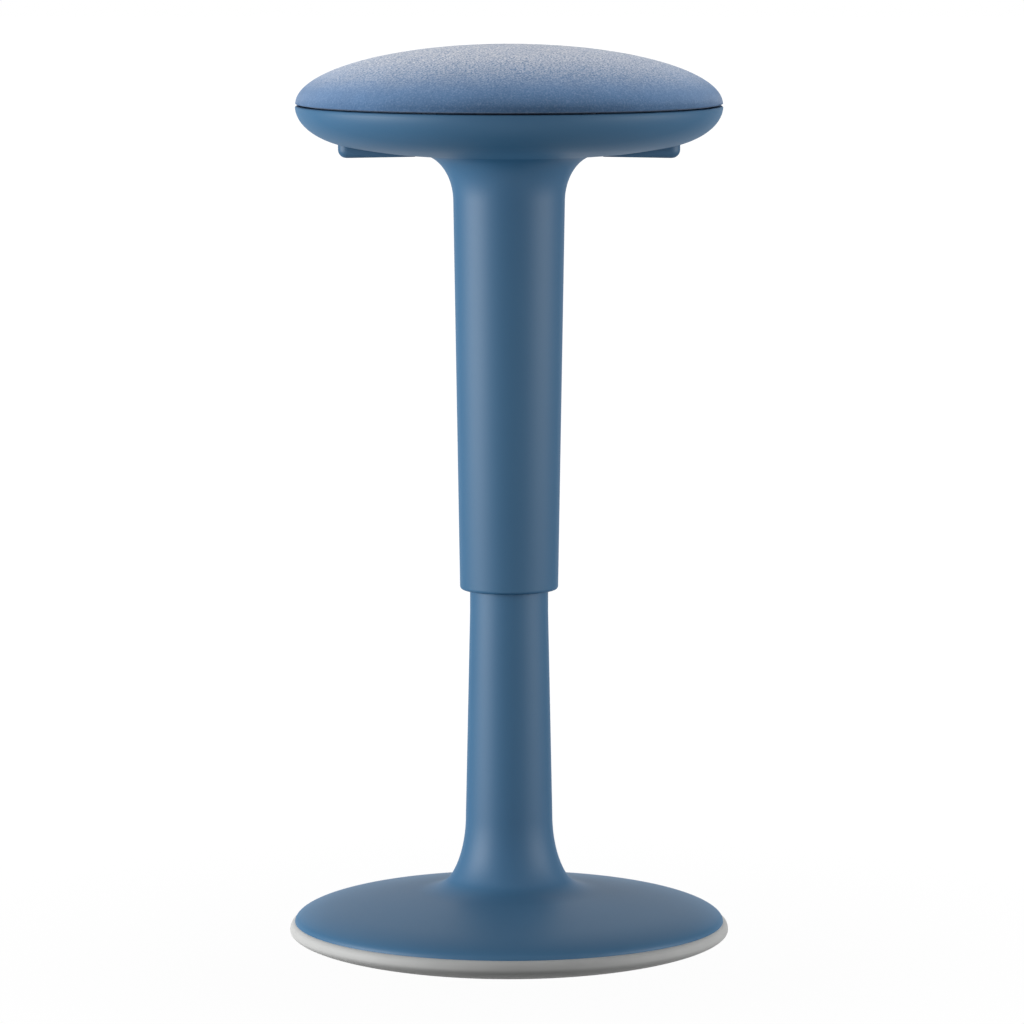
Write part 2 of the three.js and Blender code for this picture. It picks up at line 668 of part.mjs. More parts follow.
function standTube() {
  const hole = ROD_RADIUS + SEAT_GAP;
  const bore = TUBE_RADIUS - TUBE_WALL;
  return turned(
    [
      [hole, tubeBottom],
      [TUBE_RADIUS - TUBE_TAPER, tubeBottom],
      [TUBE_RADIUS, HUB_TOP_HEIGHT],
      [TUBE_RADIUS, tubeTop],
      [bore, tubeTop],
      [bore, HUB_TOP_HEIGHT],
      [bore - TUBE_TAPER, tubeFloor],
      [hole, tubeFloor],
    ],
    SMALL_SIDES,
  );
}

// Guide bush: an acetal liner with a flange, in which the gas cylinder slides.
function guideBush() {
  const bore = CYLINDER_RADIUS + SEAT_GAP;
  const liner = TUBE_RADIUS - TUBE_WALL - SEAT_GAP;
  const flangeBottom = tubeTop + SEAT_GAP;
  return turned(
    [
      [bore, tubeTop - BUSH_LENGTH],
      [liner, tubeTop - BUSH_LENGTH],
      [liner, flangeBottom],
      [TUBE_RADIUS, flangeBottom],
      [TUBE_RADIUS, flangeBottom + BUSH_FLANGE],
      [bore, flangeBottom + BUSH_FLANGE],
    ],
    SMALL_SIDES,
  );
}

// Column cap: closes the column's mouth, and its skirt centres the stand tube in it.
function columnCap() {
  const bottom = columnTop + SEAT_GAP;
  const skirtOuter = COLUMN_RADIUS - BASE_WALL - 2 * SEAT_GAP;
  const skirtInner = TUBE_RADIUS + SEAT_GAP;
  const hole = CYLINDER_RADIUS + 3 * SEAT_GAP;
  return turned(
    [
      [skirtInner, columnTop - CAP_SKIRT],
      [skirtOuter, columnTop - CAP_SKIRT],
      [skirtOuter, bottom],
      [COLUMN_RADIUS, bottom],
      [COLUMN_RADIUS, bottom + CAP_FLANGE],
      [hole, bottom + CAP_FLANGE],
      [hole, bottom],
      [skirtInner, bottom],
    ],
    SMALL_SIDES,
  );
}

function race(bottom) {
  const hole = ROD_RADIUS + SEAT_GAP;
  const top = bottom + RACE_THICKNESS;
  return turned([[hole, bottom], [RACE_RADIUS, bottom], [RACE_RADIUS, top], [hole, top]], SMALL_SIDES);
}

// Ball cage: a thin ring with the balls seated in it.
function ballCage() {
  const hole = ROD_RADIUS + SEAT_GAP;
  const centre = cageBottom + BALL_RADIUS;
  const bottom = centre - CAGE_THICKNESS / 2;
  const top = centre + CAGE_THICKNESS / 2;
  const ring = turned([[hole, bottom], [RACE_RADIUS, bottom], [RACE_RADIUS, top], [hole, top]], SMALL_SIDES);
  const pitch = (ROD_RADIUS + RACE_RADIUS) / 2;
  const ball = () => new THREE.SphereGeometry(BALL_RADIUS, 6, 4).rotateX(Math.PI / 2).translate(pitch, 0, centre);
  return joined(ring, ...ringOf(BALLS, 0, ball));
}

// Rod clip: an open spring ring in the groove at the rod's tail.
function rodClip() {
  const inner = ROD_RADIUS - CLIP_GROOVE_DEPTH + PIN_GAP;
  const top = tubeBottom - SEAT_GAP;
  const openingShare = 0.5; // of a quarter turn, on each side of the middle
  const points = [
    ...arc(0, 0, CLIP_RADIUS, CLIP_RADIUS, openingShare, 4 - openingShare, 12),
    ...arc(0, 0, inner, inner, 4 - openingShare, openingShare, 12),
  ];
  return standing(points, top - CLIP_THICKNESS, top);
}

function pistonRod() {
  const grooveTop = tubeBottom - SEAT_GAP / 2;
  const grooveBottom = grooveTop - CLIP_THICKNESS - SEAT_GAP;
  const groove = ROD_RADIUS - CLIP_GROOVE_DEPTH;
  const collarTop = collarBottom + ROD_COLLAR_HEIGHT;
  return turned(
    [
      [0, tubeBottom - ROD_TAIL],
      [ROD_RADIUS, tubeBottom - ROD_TAIL],
      [ROD_RADIUS, grooveBottom],
      [groove, grooveBottom],
      [groove, grooveTop],
      [ROD_RADIUS, grooveTop],
      [ROD_RADIUS, collarBottom],
      [ROD_COLLAR_RADIUS, collarBottom],
      [ROD_COLLAR_RADIUS, collarTop],
      [ROD_RADIUS, collarTop],
      [ROD_RADIUS, pistonTop + ROD_THREAD_LENGTH],
      [0, pistonTop + ROD_THREAD_LENGTH],
    ],
    SMALL_SIDES,
  );
}

function buffer() {
  const hole = ROD_RADIUS + SEAT_GAP;
  const top = bufferBottom + BUFFER_HEIGHT;
  const waist = BUFFER_RADIUS - ROD_RADIUS / 2;
  return turned(
    [
      [hole, bufferBottom],
      [BUFFER_RADIUS, bufferBottom],
      [waist, (bufferBottom + top) / 2],
      [BUFFER_RADIUS, top],
      [hole, top],
    ],
    SMALL_SIDES,
  );
}

const cylinderBore = CYLINDER_RADIUS - CYLINDER_WALL;

function piston() {
  const hole = ROD_RADIUS + SEAT_GAP;
  const edge = cylinderBore - SEAT_GAP;
  const ringBottom = pistonBottom + PISTON_HEIGHT / 3;
  const ringTop = pistonTop - PISTON_HEIGHT / 3;
  return turned(
    [
      [hole, pistonBottom],
      [edge, pistonBottom],
      [edge, ringBottom],
      [edge - PISTON_RING_DEPTH, ringBottom],
      [edge - PISTON_RING_DEPTH, ringTop],
      [edge, ringTop],
      [edge, pistonTop],
      [hole, pistonTop],
    ],
    SMALL_SIDES,
  );
}

function rodGland() {
  const hole = ROD_RADIUS + SEAT_GAP;
  const edge = cylinderBore - SEAT_GAP;
  const top = glandBottom + GLAND_HEIGHT;
  return turned([[hole, glandBottom], [edge, glandBottom], [edge, top], [hole, top]], SMALL_SIDES);
}

// Gas cylinder: bored from below for the piston, tapered at its head, with the valve's bore there.
function gasCylinder() {
  const lip = cylinderBore - CYLINDER_LIP_INSET;
  const headRadius = CYLINDER_RADIUS - CYLINDER_TAPER;
  return turned(
    [
      [0, boreTop],
      [cylinderBore, boreTop],
      [cylinderBore, cylinderBottom + CYLINDER_LIP_HEIGHT],
      [lip, cylinderBottom + CYLINDER_LIP_HEIGHT],
      [lip, cylinderBottom],
      [CYLINDER_RADIUS - CYLINDER_CHAMFER, cylinderBottom],
      [CYLINDER_RADIUS, cylinderBottom + CYLINDER_CHAMFER],
      [CYLINDER_RADIUS, cylinderTop - CYLINDER_TAPER_LENGTH],
      [headRadius, cylinderTop - CYLINDER_CHAMFER],
      [headRadius - CYLINDER_CHAMFER, cylinderTop],
      [VALVE_BORE_RADIUS, cylinderTop],
      [VALVE_BORE_RADIUS, cylinderTop - VALVE_BORE_DEPTH],
      [0, cylinderTop - VALVE_BORE_DEPTH],
    ],
    SMALL_SIDES,
  );
}

function releasePin() {
  const stem = VALVE_BORE_RADIUS - SEAT_GAP;
  const capBottom = pinCapTop - PIN_CAP_HEIGHT;
  const stemBottom = cylinderTop - VALVE_BORE_DEPTH + PIN_TRAVEL + SEAT_GAP;
  return turned(
    [
      [0, stemBottom],
      [stem, stemBottom],
      [stem, capBottom],
      [PIN_CAP_RADIUS, capBottom],
      [PIN_CAP_RADIUS, pinCapTop - PIN_CAP_CHAMFER],
      [PIN_CAP_RADIUS - PIN_CAP_CHAMFER, pinCapTop],
      [0, pinCapTop],
    ],
    SMALL_SIDES,
  );
}

// Taper socket: the steel hub that the head of the gas cylinder wedges into.
function taperSocket() {
  const taperRate = CYLINDER_TAPER / CYLINDER_TAPER_LENGTH;
  const taperStart = cylinderTop - CYLINDER_TAPER_LENGTH;
  const bore = (height) => CYLINDER_RADIUS + SEAT_GAP - Math.max(0, height - taperStart) * taperRate;
  const flangeTopHeight = panFloor - SEAT_GAP;
  const flangeBottom = flangeTopHeight - SOCKET_FLANGE_THICKNESS;
  return turned(
    [
      [bore(socketBottom), socketBottom],
      [SOCKET_RADIUS, socketBottom],
      [SOCKET_RADIUS, flangeBottom],
      [SOCKET_FLANGE_RADIUS, flangeBottom],
      [SOCKET_FLANGE_RADIUS, flangeTopHeight],
      [SOCKET_RADIUS, flangeTopHeight],
      [SOCKET_RADIUS, socketTop],
      [bore(socketTop), socketTop],
    ],
    SMALL_SIDES,
  );
}

// Seat pan: pressed steel, its floor on the shell, its shoulder up to the board, with a window
// each side for the lever arms.
function seatPan() {
  const rimBottom = panRimTop - PAN_THICKNESS;
  const dish = turned(
    [
      [SOCKET_RADIUS + SEAT_GAP, panFloor],
      [PAN_FLOOR_RADIUS, panFloor],
      [panShoulder, rimBottom],
      [panRadius, rimBottom],
      [panRadius, panRimTop],
      [panShoulder - PAN_THICKNESS / 2, panRimTop],
      [PAN_FLOOR_RADIUS - PAN_THICKNESS / 2, panFloorTop],
      [SOCKET_RADIUS + SEAT_GAP, panFloorTop],
    ],
    LARGE_SIDES,
  );
  const windows = block(
    -panShoulder,
    panShoulder,
    -PAN_WINDOW_WIDTH / 2,
    PAN_WINDOW_WIDTH / 2,
    panFloorTop + SEAT_GAP,
    rimBottom - SEAT_GAP,
  );
  const floorHole = () =>
    post(FLANGE_SCREW_RADIUS + SEAT_GAP, panFloor - CUT_OVERRUN, panFloorTop + CUT_OVERRUN, SCREW_SIDES).translate(
      FLANGE_SCREW_CIRCLE,
      0,
      0,
    );
  const rimHole = () =>
    post(BOARD_SCREW_RADIUS + SEAT_GAP, rimBottom - CUT_OVERRUN, panRimTop + CUT_OVERRUN, SCREW_SIDES).translate(
      boardScrewCircle,
      0,
      0,
    );
  return without(
    dish,
    windows,
    ...ringOf(FLANGE_SCREWS, diagonal, floorHole),
    ...ringOf(BOARD_SCREWS, diagonal, rimHole),
  );
}

// The plan of a window or grip on the +X side, square at its inner end and rounded outside.
function paddlePlan(innerReach, outerReach, width, round) {
  const half = width / 2;
  return [
    [innerReach, -half],
    ...arc(outerReach - round, round - half, round, round, 3, 4, 5),
    ...arc(outerReach - round, half - round, round, round, 0, 1, 5),
    [innerReach, half],
  ];
}

// The two windows under the seat that the grips move in.
function windowCutters(bottom, top) {
  const plan = paddlePlan(
    windowInnerReach,
    windowOuterReach,
    GRIP_WIDTH + 2 * LEVER_GAP,
    GRIP_END_ROUND + LEVER_GAP,
  );
  return ringOf(2, 0, () => standing(plan, bottom, top));
}

// The outside of the sleeve from its lip to its flange, moved in by the wall for the inside.
function sleeveLine(wall, steps) {
  return [
    [LIP_RADIUS - wall, LIP_HEIGHT + LIP_ROUND],
    ...arc(throatRadius, neckHeight, NECK_REACH + wall, NECK_RISE + wall, 2, 1, steps),
  ];
}

// Upper sleeve: tapered tube, trumpet neck and flange in one moulding, with ribs and bosses on top.
function upperSleeve() {
  const outer = turned(
    [
      [0, LIP_HEIGHT],
      ...arc(LIP_RADIUS - LIP_ROUND, LIP_HEIGHT + LIP_ROUND, LIP_ROUND, LIP_ROUND, -1, 0, 2),
      ...sleeveLine(0, 7).slice(1),
      [(throatRadius + flangeRadius) / 2, throatHeight + FLANGE_RISE * FLANGE_SLOPE_SHARE],
      [flangeRadius, flangeEdgeHeight],
      [flangeRadius, flangeTop],
      [0, flangeTop],
    ],
    LARGE_SIDES,
  );
  const hollow = turned(
    [
      [0, LIP_HEIGHT - CUT_OVERRUN],
      [LIP_RADIUS - SLEEVE_WALL, LIP_HEIGHT - CUT_OVERRUN],
      ...sleeveLine(SLEEVE_WALL, 4).slice(1),
      [flangeRadius - SLEEVE_WALL, flangeTop - FLANGE_EDGE / 4],
      [flangeRadius - SLEEVE_WALL, flangeTop + CUT_OVERRUN],
      [0, flangeTop + CUT_OVERRUN],
    ],
    LARGE_SIDES,
  );
  const boss = () =>
    post(FLANGE_BOSS_RADIUS, neckHeight, flangeTop, SCREW_SIDES).translate(FLANGE_SCREW_CIRCLE, 0, 0);
  const rib = () =>
    block(
      FLANGE_SCREW_CIRCLE,
      flangeRadius,
      -FLANGE_RIB_WIDTH / 2,
      FLANGE_RIB_WIDTH / 2,
      neckHeight,
      flangeTop,
    );
  const bore = () =>
    post(
      FLANGE_SCREW_RADIUS + THREAD_GAP,
      panFloorTop - FLANGE_SCREW_LENGTH - SEAT_GAP,
      flangeTop + CUT_OVERRUN,
      SCREW_SIDES,
    ).translate(FLANGE_SCREW_CIRCLE, 0, 0);
  const insides = [...ringOf(FLANGE_SCREWS, diagonal, boss), ...ringOf(FLANGE_SCREWS, diagonal, rib)];
  const kept = insides.map(solidOf).reduce((a, b) => a.add(b));
  const cutters = [...ringOf(FLANGE_SCREWS, diagonal, bore), ...windowCutters(neckHeight, flangeTop + CUT_OVERRUN)];
  const body = solidOf(outer).subtract(solidOf(hollow).subtract(kept));
  return geometryOf(cutters.map(solidOf).reduce((a, b) => a.subtract(b), body));
}

// Seat shell: the moulded bowl, with a window for each grip and ribs that carry the board's edge.
function seatShell() {
  const curveInner = SHELL_RADIUS - SHELL_CURVE_WIDTH;
  const floorTop = shellFloor + SHELL_WALL;
  const outer = turned(
    [
      [0, shellFloor],
      [shellFloorEdge, shellFloor],
      [shellFloorEdge, flangeEdgeHeight],
      ...arc(curveInner, seamHeight, SHELL_CURVE_WIDTH, SHELL_DEPTH, 3, 4, 7),
      [0, seamHeight],
    ],
    LARGE_SIDES,
  );
  const hollow = turned(
    [
      [0, floorTop],
      [shellFloorEdge + SHELL_WALL, floorTop],
      ...arc(
        curveInner,
        seamHeight,
        SHELL_CURVE_WIDTH - SHELL_WALL,
        SHELL_DEPTH - SHELL_WALL,
        SHELL_LINING_SHARE,
        4,
        4,
      ),
      [SHELL_RADIUS - SHELL_WALL, seamHeight + CUT_OVERRUN],
      [0, seamHeight + CUT_OVERRUN],
    ],
    LARGE_SIDES,
  );
  const rib = () =>
    block(
      shellFloorEdge + 2 * SHELL_WALL,
      boardRadius,
      -SHELL_RIB_WIDTH / 2,
      SHELL_RIB_WIDTH / 2,
      shellFloor,
      seamHeight,
    );
  const ribs = ringOf(SHELL_RIBS, Math.PI / SHELL_RIBS, rib).map(solidOf);
  const mouth = post(SHELL_MOUTH_RADIUS, shellFloor - CUT_OVERRUN, floorTop + CUT_OVERRUN, LARGE_SIDES);
  const screwHole = () =>
    post(FLANGE_SCREW_RADIUS + SEAT_GAP, shellFloor - CUT_OVERRUN, floorTop + CUT_OVERRUN, SCREW_SIDES).translate(
      FLANGE_SCREW_CIRCLE,
      0,
      0,
    );
  const cutters = [
    mouth,
    ...ringOf(FLANGE_SCREWS, diagonal, screwHole),
    ...windowCutters(neckHeight, seamHeight + CUT_OVERRUN),
  ];
  const bowl = solidOf(outer).subtract(ribs.reduce((a, b) => a.subtract(b), solidOf(hollow)));
  return geometryOf(cutters.map(solidOf).reduce((a, b) => a.subtract(b), bowl));
}

// Pivot bracket: a U of sheet steel on the pan, whose ears hold the lever's pivot.
function pivotBracket() {
  const inside = ARM_WIDTH / 2 + SEAT_GAP;
  const outside = inside + BRACKET_THICKNESS;
  const bottom = panFloorTop + SEAT_GAP;
  const top = pivotHeight + BRACKET_EAR_TOP;
  const fromX = PIVOT_REACH - BRACKET_LENGTH / 2;
  const toX = PIVOT_REACH + BRACKET_LENGTH / 2;
  const body = block(fromX, toX, -outside, outside, bottom, top);
  const channel = block(
    fromX - CUT_OVERRUN,
    toX + CUT_OVERRUN,
    -inside,
    inside,
    bottom + BRACKET_THICKNESS,
    top + CUT_OVERRUN,
  );
  const hole = crossbar(PIVOT_REACH, pivotHeight, PIVOT_RADIUS + PIN_GAP, 3 * outside, SMALL_SIDES);
  return without(body, channel, hole);
}

// Pivot pin: a headed pin across the bracket.
function pivotPin() {
  const half = ARM_WIDTH / 2 + SEAT_GAP + BRACKET_THICKNESS + SEAT_GAP;
  const pin = turned(
    [
      [0, -half - PIVOT_HEAD_HEIGHT],
      [PIVOT_HEAD_RADIUS, -half - PIVOT_HEAD_HEIGHT],
      [PIVOT_HEAD_RADIUS, -half],
      [PIVOT_RADIUS, -half],
      [PIVOT_RADIUS, half],
      [0, half],
    ],
    SMALL_SIDES,
  );
  return pin.rotateX(-Math.PI / 2).translate(PIVOT_REACH, 0, pivotHeight);
}

// Lever arm: a steel bar from the nose over the release pin, past its pivot, down to the grip.
// One arm ends in a fork and the other in a tongue, so that both noses lie over the pin.
function leverArm(forked) {
  const half = ARM_THICKNESS / 2;
  const bar = [
    [0, noseHeight - half],
    [ARM_ELBOW_REACH, pivotHeight - half],
    [armKneeReach, armEndHeight - half],
    [armEndReach, armEndHeight - half],
    [armEndReach, armEndHeight + half],
    [armKneeReach, armEndHeight + half],
    [ARM_ELBOW_REACH, pivotHeight + half],
    [0, noseHeight + half],
  ];
  const blank = joined(
    across(bar, ARM_WIDTH),
    crossbar(PIVOT_REACH, pivotHeight, LEVER_BOSS_RADIUS, ARM_WIDTH, SMALL_SIDES),
    crossbar(0, noseHeight, NOSE_RADIUS, ARM_WIDTH, SMALL_SIDES),
  );
  const reach = PIN_CAP_RADIUS + ARM_NOSE_OVERHANG;
  const low = noseHeight - LEVER_BOSS_RADIUS;
  const high = noseHeight + LEVER_BOSS_RADIUS;
  const slot = block(-reach, reach, -ARM_FORK_GAP / 2, ARM_FORK_GAP / 2, low, high);
  const sides = [-1, 1].map((side) => {
    const inner = (side * ARM_TONGUE_WIDTH) / 2;
    const outer = side * ARM_WIDTH;
    return block(-reach, reach, Math.min(inner, outer), Math.max(inner, outer), low, high);
  });
  const hole = crossbar(PIVOT_REACH, pivotHeight, PIVOT_RADIUS + PIN_GAP, 2 * ARM_WIDTH, SMALL_SIDES);
  const screwHole = post(
    GRIP_SCREW_RADIUS + SEAT_GAP,
    armEndHeight - ARM_THICKNESS,
    armEndHeight + ARM_THICKNESS,
    SCREW_SIDES,
  ).translate(gripScrewReach, 0, 0);
  return without(blank, hole, screwHole, ...(forked ? [slot] : sides));
}

// Lever grip: a hollow moulded paddle, open on top, hung under the arm's outer end.
function leverGrip() {
  const rim = gripSeat - SEAT_GAP;
  const side = (inset) => {
    const inner = GRIP_INNER_REACH + inset;
    const outer = gripOuterReach - inset;
    const round = GRIP_TOE_ROUND - inset / 2;
    return [
      [inner, gripUnderside + inset],
      ...arc(outer - round, gripUnderside - GRIP_SLOPE + inset + round, round, round, 3, 4, 5),
      [outer, rim + (inset ? CUT_OVERRUN : 0)],
      [inner, rim + (inset ? CUT_OVERRUN : 0)],
    ];
  };
  const top = rim + 2 * CUT_OVERRUN;
  const bottom = gripUnderside - GRIP_SLOPE - CUT_OVERRUN;
  const plan = (inset) =>
    standing(
      paddlePlan(
        GRIP_INNER_REACH + inset,
        gripOuterReach - inset,
        GRIP_WIDTH - 2 * inset,
        GRIP_END_ROUND - inset / 2,
      ),
      bottom,
      top,
    );
  const outside = shared(plan(0), across(side(0), GRIP_WIDTH + CUT_OVERRUN));
  const inside = shared(plan(GRIP_WALL), across(side(GRIP_WALL), GRIP_WIDTH));
  const doorway = block(
    GRIP_INNER_REACH - CUT_OVERRUN,
    GRIP_INNER_REACH + GRIP_WALL + CUT_OVERRUN,
    -ARM_WIDTH / 2 - LEVER_GAP,
    ARM_WIDTH / 2 + LEVER_GAP,
    armEndHeight - ARM_THICKNESS,
    rim + CUT_OVERRUN,
  );
  const boss = post(GRIP_BOSS_RADIUS, gripUnderside, gripSeat, SMALL_SIDES).translate(gripScrewReach, 0, 0);
  const bore = post(
    GRIP_SCREW_RADIUS + THREAD_GAP,
    armEndHeight + ARM_THICKNESS / 2 - GRIP_SCREW_LENGTH,
    gripSeat + CUT_OVERRUN,
    SCREW_SIDES,
  ).translate(gripScrewReach, 0, 0);
  return without(joined(without(outside, inside, doorway), boss), bore);
}

function gripScrew() {
  const shankTop = armEndHeight + ARM_THICKNESS / 2 + SEAT_GAP;
  return screw(
    GRIP_SCREW_RADIUS,
    GRIP_SCREW_LENGTH,
    GRIP_SCREW_HEAD_RADIUS,
    GRIP_SCREW_HEAD_HEIGHT,
  ).translate(gripScrewReach, 0, shankTop - GRIP_SCREW_LENGTH);
}

function flangeScrews() {
  return ringOf(FLANGE_SCREWS, diagonal, () =>
    screw(
      FLANGE_SCREW_RADIUS,
      FLANGE_SCREW_LENGTH,
      FLANGE_SCREW_HEAD_RADIUS,
      FLANGE_SCREW_HEAD_HEIGHT,
    ).translate(FLANGE_SCREW_CIRCLE, 0, panFloorTop + SEAT_GAP - FLANGE_SCREW_LENGTH),
  );
}

function boardScrews() {
  return ringOf(BOARD_SCREWS, diagonal, () =>
    screw(BOARD_SCREW_RADIUS, BOARD_SCREW_LENGTH, BOARD_SCREW_HEAD_RADIUS, BOARD_SCREW_HEAD_HEIGHT)
      .rotateX(Math.PI)
      .translate(boardScrewCircle, 0, panRimTop - PAN_THICKNESS - SEAT_GAP + BOARD_SCREW_LENGTH),
  );
}

const teeTop = boardTop - SEAT_GAP;

function teeNuts() {
  const bore = BOARD_SCREW_RADIUS + SEAT_GAP;
  const flangeBottom = teeTop - TEE_FLANGE_THICKNESS;
  const barrelBottom = boardBottom + SEAT_GAP;
  return ringOf(BOARD_SCREWS, diagonal, () =>
    turned(
      [
        [bore, barrelBottom],
        [TEE_BARREL_RADIUS, barrelBottom],
        [TEE_BARREL_RADIUS, flangeBottom],
        [TEE_FLANGE_RADIUS, flangeBottom],
        [TEE_FLANGE_RADIUS, teeTop],
        [bore, teeTop],
      ],
      SCREW_SIDES,
    ).translate(boardScrewCircle, 0, 0),
  );
}

// Seat board: plywood, rebated underneath for the fabric's turned edge, bored for the tee nuts.
function seatBoard() {
  const rebate = fabricTurnTop + SEAT_GAP;
  const rebateRadius = fabricTurnRadius - SEAT_GAP;
  const board = turned(
    [
      [0, boardBottom],
      [rebateRadius, boardBottom],
      [rebateRadius, rebate],
      [boardRadius, rebate],
      [boardRadius, boardTop],
      [0, boardTop],
    ],
    LARGE_SIDES,
  );
  const flangeSeat = teeTop - TEE_FLANGE_THICKNESS - SEAT_GAP;
  const hole = () =>
    turned(
      [
        [0, boardBottom - CUT_OVERRUN],
        [TEE_BARREL_RADIUS + SEAT_GAP, boardBottom - CUT_OVERRUN],
        [TEE_BARREL_RADIUS + SEAT_GAP, flangeSeat],
        [TEE_FLANGE_RADIUS + SEAT_GAP, flangeSeat],
        [TEE_FLANGE_RADIUS + SEAT_GAP, boardTop + CUT_OVERRUN],
        [0, boardTop + CUT_OVERRUN],
      ],
      SCREW_SIDES,
    ).translate(boardScrewCircle, 0, 0);
  return without(board, ...ringOf(BOARD_SCREWS, diagonal, hole));
}

// The cushion's crown, moved in by an inset, from its edge to its top.
function crown(inset, steps) {
  return arc(0, cushionEdge, cushionRadius - inset, CUSHION_CROWN - inset, 0, 1, steps);
}

// Foam pad: fills the cover over the board and laps down round the board's edge.
function foamPad() {
  const inset = FABRIC_THICKNESS + SEAT_GAP;
  const skirtBottom = fabricTurnTop + 2 * SEAT_GAP;
  const skirtInner = boardRadius + SEAT_GAP;
  const skirtOuter = cushionRadius - inset - FABRIC_EDGE_ROUND / 2;
  return turned(
    [
      [0, boardTop + SEAT_GAP],
      [skirtInner, boardTop + SEAT_GAP],
      [skirtInner, skirtBottom],
      [skirtOuter, skirtBottom],
      ...crown(inset, LINING_STEPS),
    ],
    LARGE_SIDES,
  );
}

// Seat cover: a skin of felted cloth over the crown, turned under the board's edge.
function seatCover() {
  const edgeFoot = cushionRadius - FABRIC_EDGE_ROUND;
  const innerFoot = edgeFoot - FABRIC_THICKNESS / 2;
  return turned(
    [
      ...crown(0, CROWN_STEPS).reverse(),
      [cushionRadius - FABRIC_EDGE_ROUND / 4, cushionEdge - COVER_EDGE_LIFT / 2],
      [edgeFoot, boardBottom],
      [fabricTurnRadius, boardBottom],
      [fabricTurnRadius, fabricTurnTop],
      [innerFoot, fabricTurnTop],
      ...crown(FABRIC_THICKNESS, LINING_STEPS),
    ],
    LARGE_SIDES,
  );
}

// Base
addPiece("grip_pad", gripPad(), "greyRubber");
addPiece("tread_ring", treadRing(), "greyRubber");
addPiece("bottom_cover", bottomCover(), "darkPlastic");
addPiece("counterweight", counterweight(), "castIron");
addPiece("base_shell", baseShell(), "bluePlastic");
addPiece("stand_tube", standTube(), "blackSteel");
addPiece("guide_bush", guideBush(), "whiteAcetal");
addPiece("column_cap", columnCap(), "darkPlastic");
addPiece("bearing_lower_race", race(lowerRaceBottom), "brightSteel");
addPiece("bearing_ball_cage", ballCage(), "brightSteel");
coverScrews().forEach((geometry, i) => addPiece("cover_screw_" + (i + 1), geometry, "zincSteel"));

// Piston rod and what turns with it
addPiece("piston_rod", pistonRod(), "brightSteel");
addPiece("piston", piston(), "zincSteel");
addPiece("rod_clip", rodClip(), "zincSteel");
addPiece("bearing_upper_race", race(upperRaceBottom), "brightSteel");
addPiece("rod_buffer", buffer(), "blackRubber");

// Seat
addPiece("gas_cylinder", gasCylinder(), "blackSteel");
addPiece("rod_gland", rodGland(), "zincSteel");
addPiece("taper_socket", taperSocket(), "blackSteel");
addPiece("seat_pan", seatPan(), "blackSteel");
addPiece("upper_sleeve", upperSleeve(), "bluePlastic");
addPiece("seat_shell", seatShell(), "bluePlastic");
addPiece("seat_board", seatBoard(), "plywood");
addPiece("foam_pad", foamPad(), "foam");
addPiece("seat_cover", seatCover(), "blueFelt");
flangeScrews().forEach((geometry, i) => addPiece("flange_screw_" + (i + 1), geometry, "zincSteel"));
boardScrews().forEach((geometry, i) => addPiece("board_screw_" + (i + 1), geometry, "zincSteel"));
teeNuts().forEach((geometry, i) => addPiece("tee_nut_" + (i + 1), geometry, "zincSteel"));

// Release: the pin and, each side of it, a bracket, a pivot, an arm, a grip and its screw
addPiece("release_pin", releasePin(), "whiteAcetal");
[
  ["right", 0],
  ["left", Math.PI],
].forEach(([side, turn]) => {
  addPiece("pivot_bracket_" + side, pivotBracket().rotateZ(turn), "blackSteel");
  addPiece("pivot_pin_" + side, pivotPin().rotateZ(turn), "brightSteel");
  addPiece("lever_arm_" + side, leverArm(side === "left").rotateZ(turn), "blackSteel");
  addPiece("lever_grip_" + side, leverGrip().rotateZ(turn), "bluePlastic");
  addPiece("grip_screw_" + side, gripScrew().rotateZ(turn), "zincSteel");
});

export default stool;
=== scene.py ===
"""Dresses a height-adjustable wobble stool: felted seat, satin blue mouldings and a grey rubber sole."""

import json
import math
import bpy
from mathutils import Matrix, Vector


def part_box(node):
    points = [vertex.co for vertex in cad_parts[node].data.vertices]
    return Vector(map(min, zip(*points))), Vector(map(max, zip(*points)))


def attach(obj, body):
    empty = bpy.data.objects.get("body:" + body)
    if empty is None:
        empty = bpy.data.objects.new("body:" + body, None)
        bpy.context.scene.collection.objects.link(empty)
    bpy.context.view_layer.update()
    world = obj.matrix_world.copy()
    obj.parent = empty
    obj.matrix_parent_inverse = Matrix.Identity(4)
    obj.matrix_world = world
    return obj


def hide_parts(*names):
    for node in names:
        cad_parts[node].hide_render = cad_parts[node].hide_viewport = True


bl_info = {
    "name": "Wobble Stool",
    "version": (1, 0, 0),
    "blender": (4, 5, 0),
    "location": "View3D > Sidebar > Stool",
    "description": "Models and finishes a round sit-stand stool with a rocking base",
    "category": "Add Mesh",
}

import bmesh
import bpy
from mathutils import Matrix, Vector

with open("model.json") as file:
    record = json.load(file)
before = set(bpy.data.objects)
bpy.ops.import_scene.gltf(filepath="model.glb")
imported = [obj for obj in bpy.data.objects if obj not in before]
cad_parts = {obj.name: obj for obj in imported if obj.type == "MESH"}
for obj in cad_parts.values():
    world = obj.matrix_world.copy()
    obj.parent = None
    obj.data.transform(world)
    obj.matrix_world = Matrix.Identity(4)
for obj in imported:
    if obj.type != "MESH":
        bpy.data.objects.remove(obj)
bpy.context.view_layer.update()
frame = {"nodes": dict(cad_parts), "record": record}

MM = 0.001
AXIS = Vector((0, 0, 1))
SIDE_START = 3.2  # quarter turn at which the seat shell's side leaves its underside


def linear(hex_colour):
    """Turns an sRGB hex value into linear RGB."""
    channels = [int(hex_colour[i : i + 2], 16) / 255 for i in (1, 3, 5)]
    return [c / 12.92 if c <= 0.04045 else ((c + 0.055) / 1.055) ** 2.4 for c in channels]


def low_of(node):
    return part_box(node)[0].z


def top_of(node):
    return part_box(node)[1].z


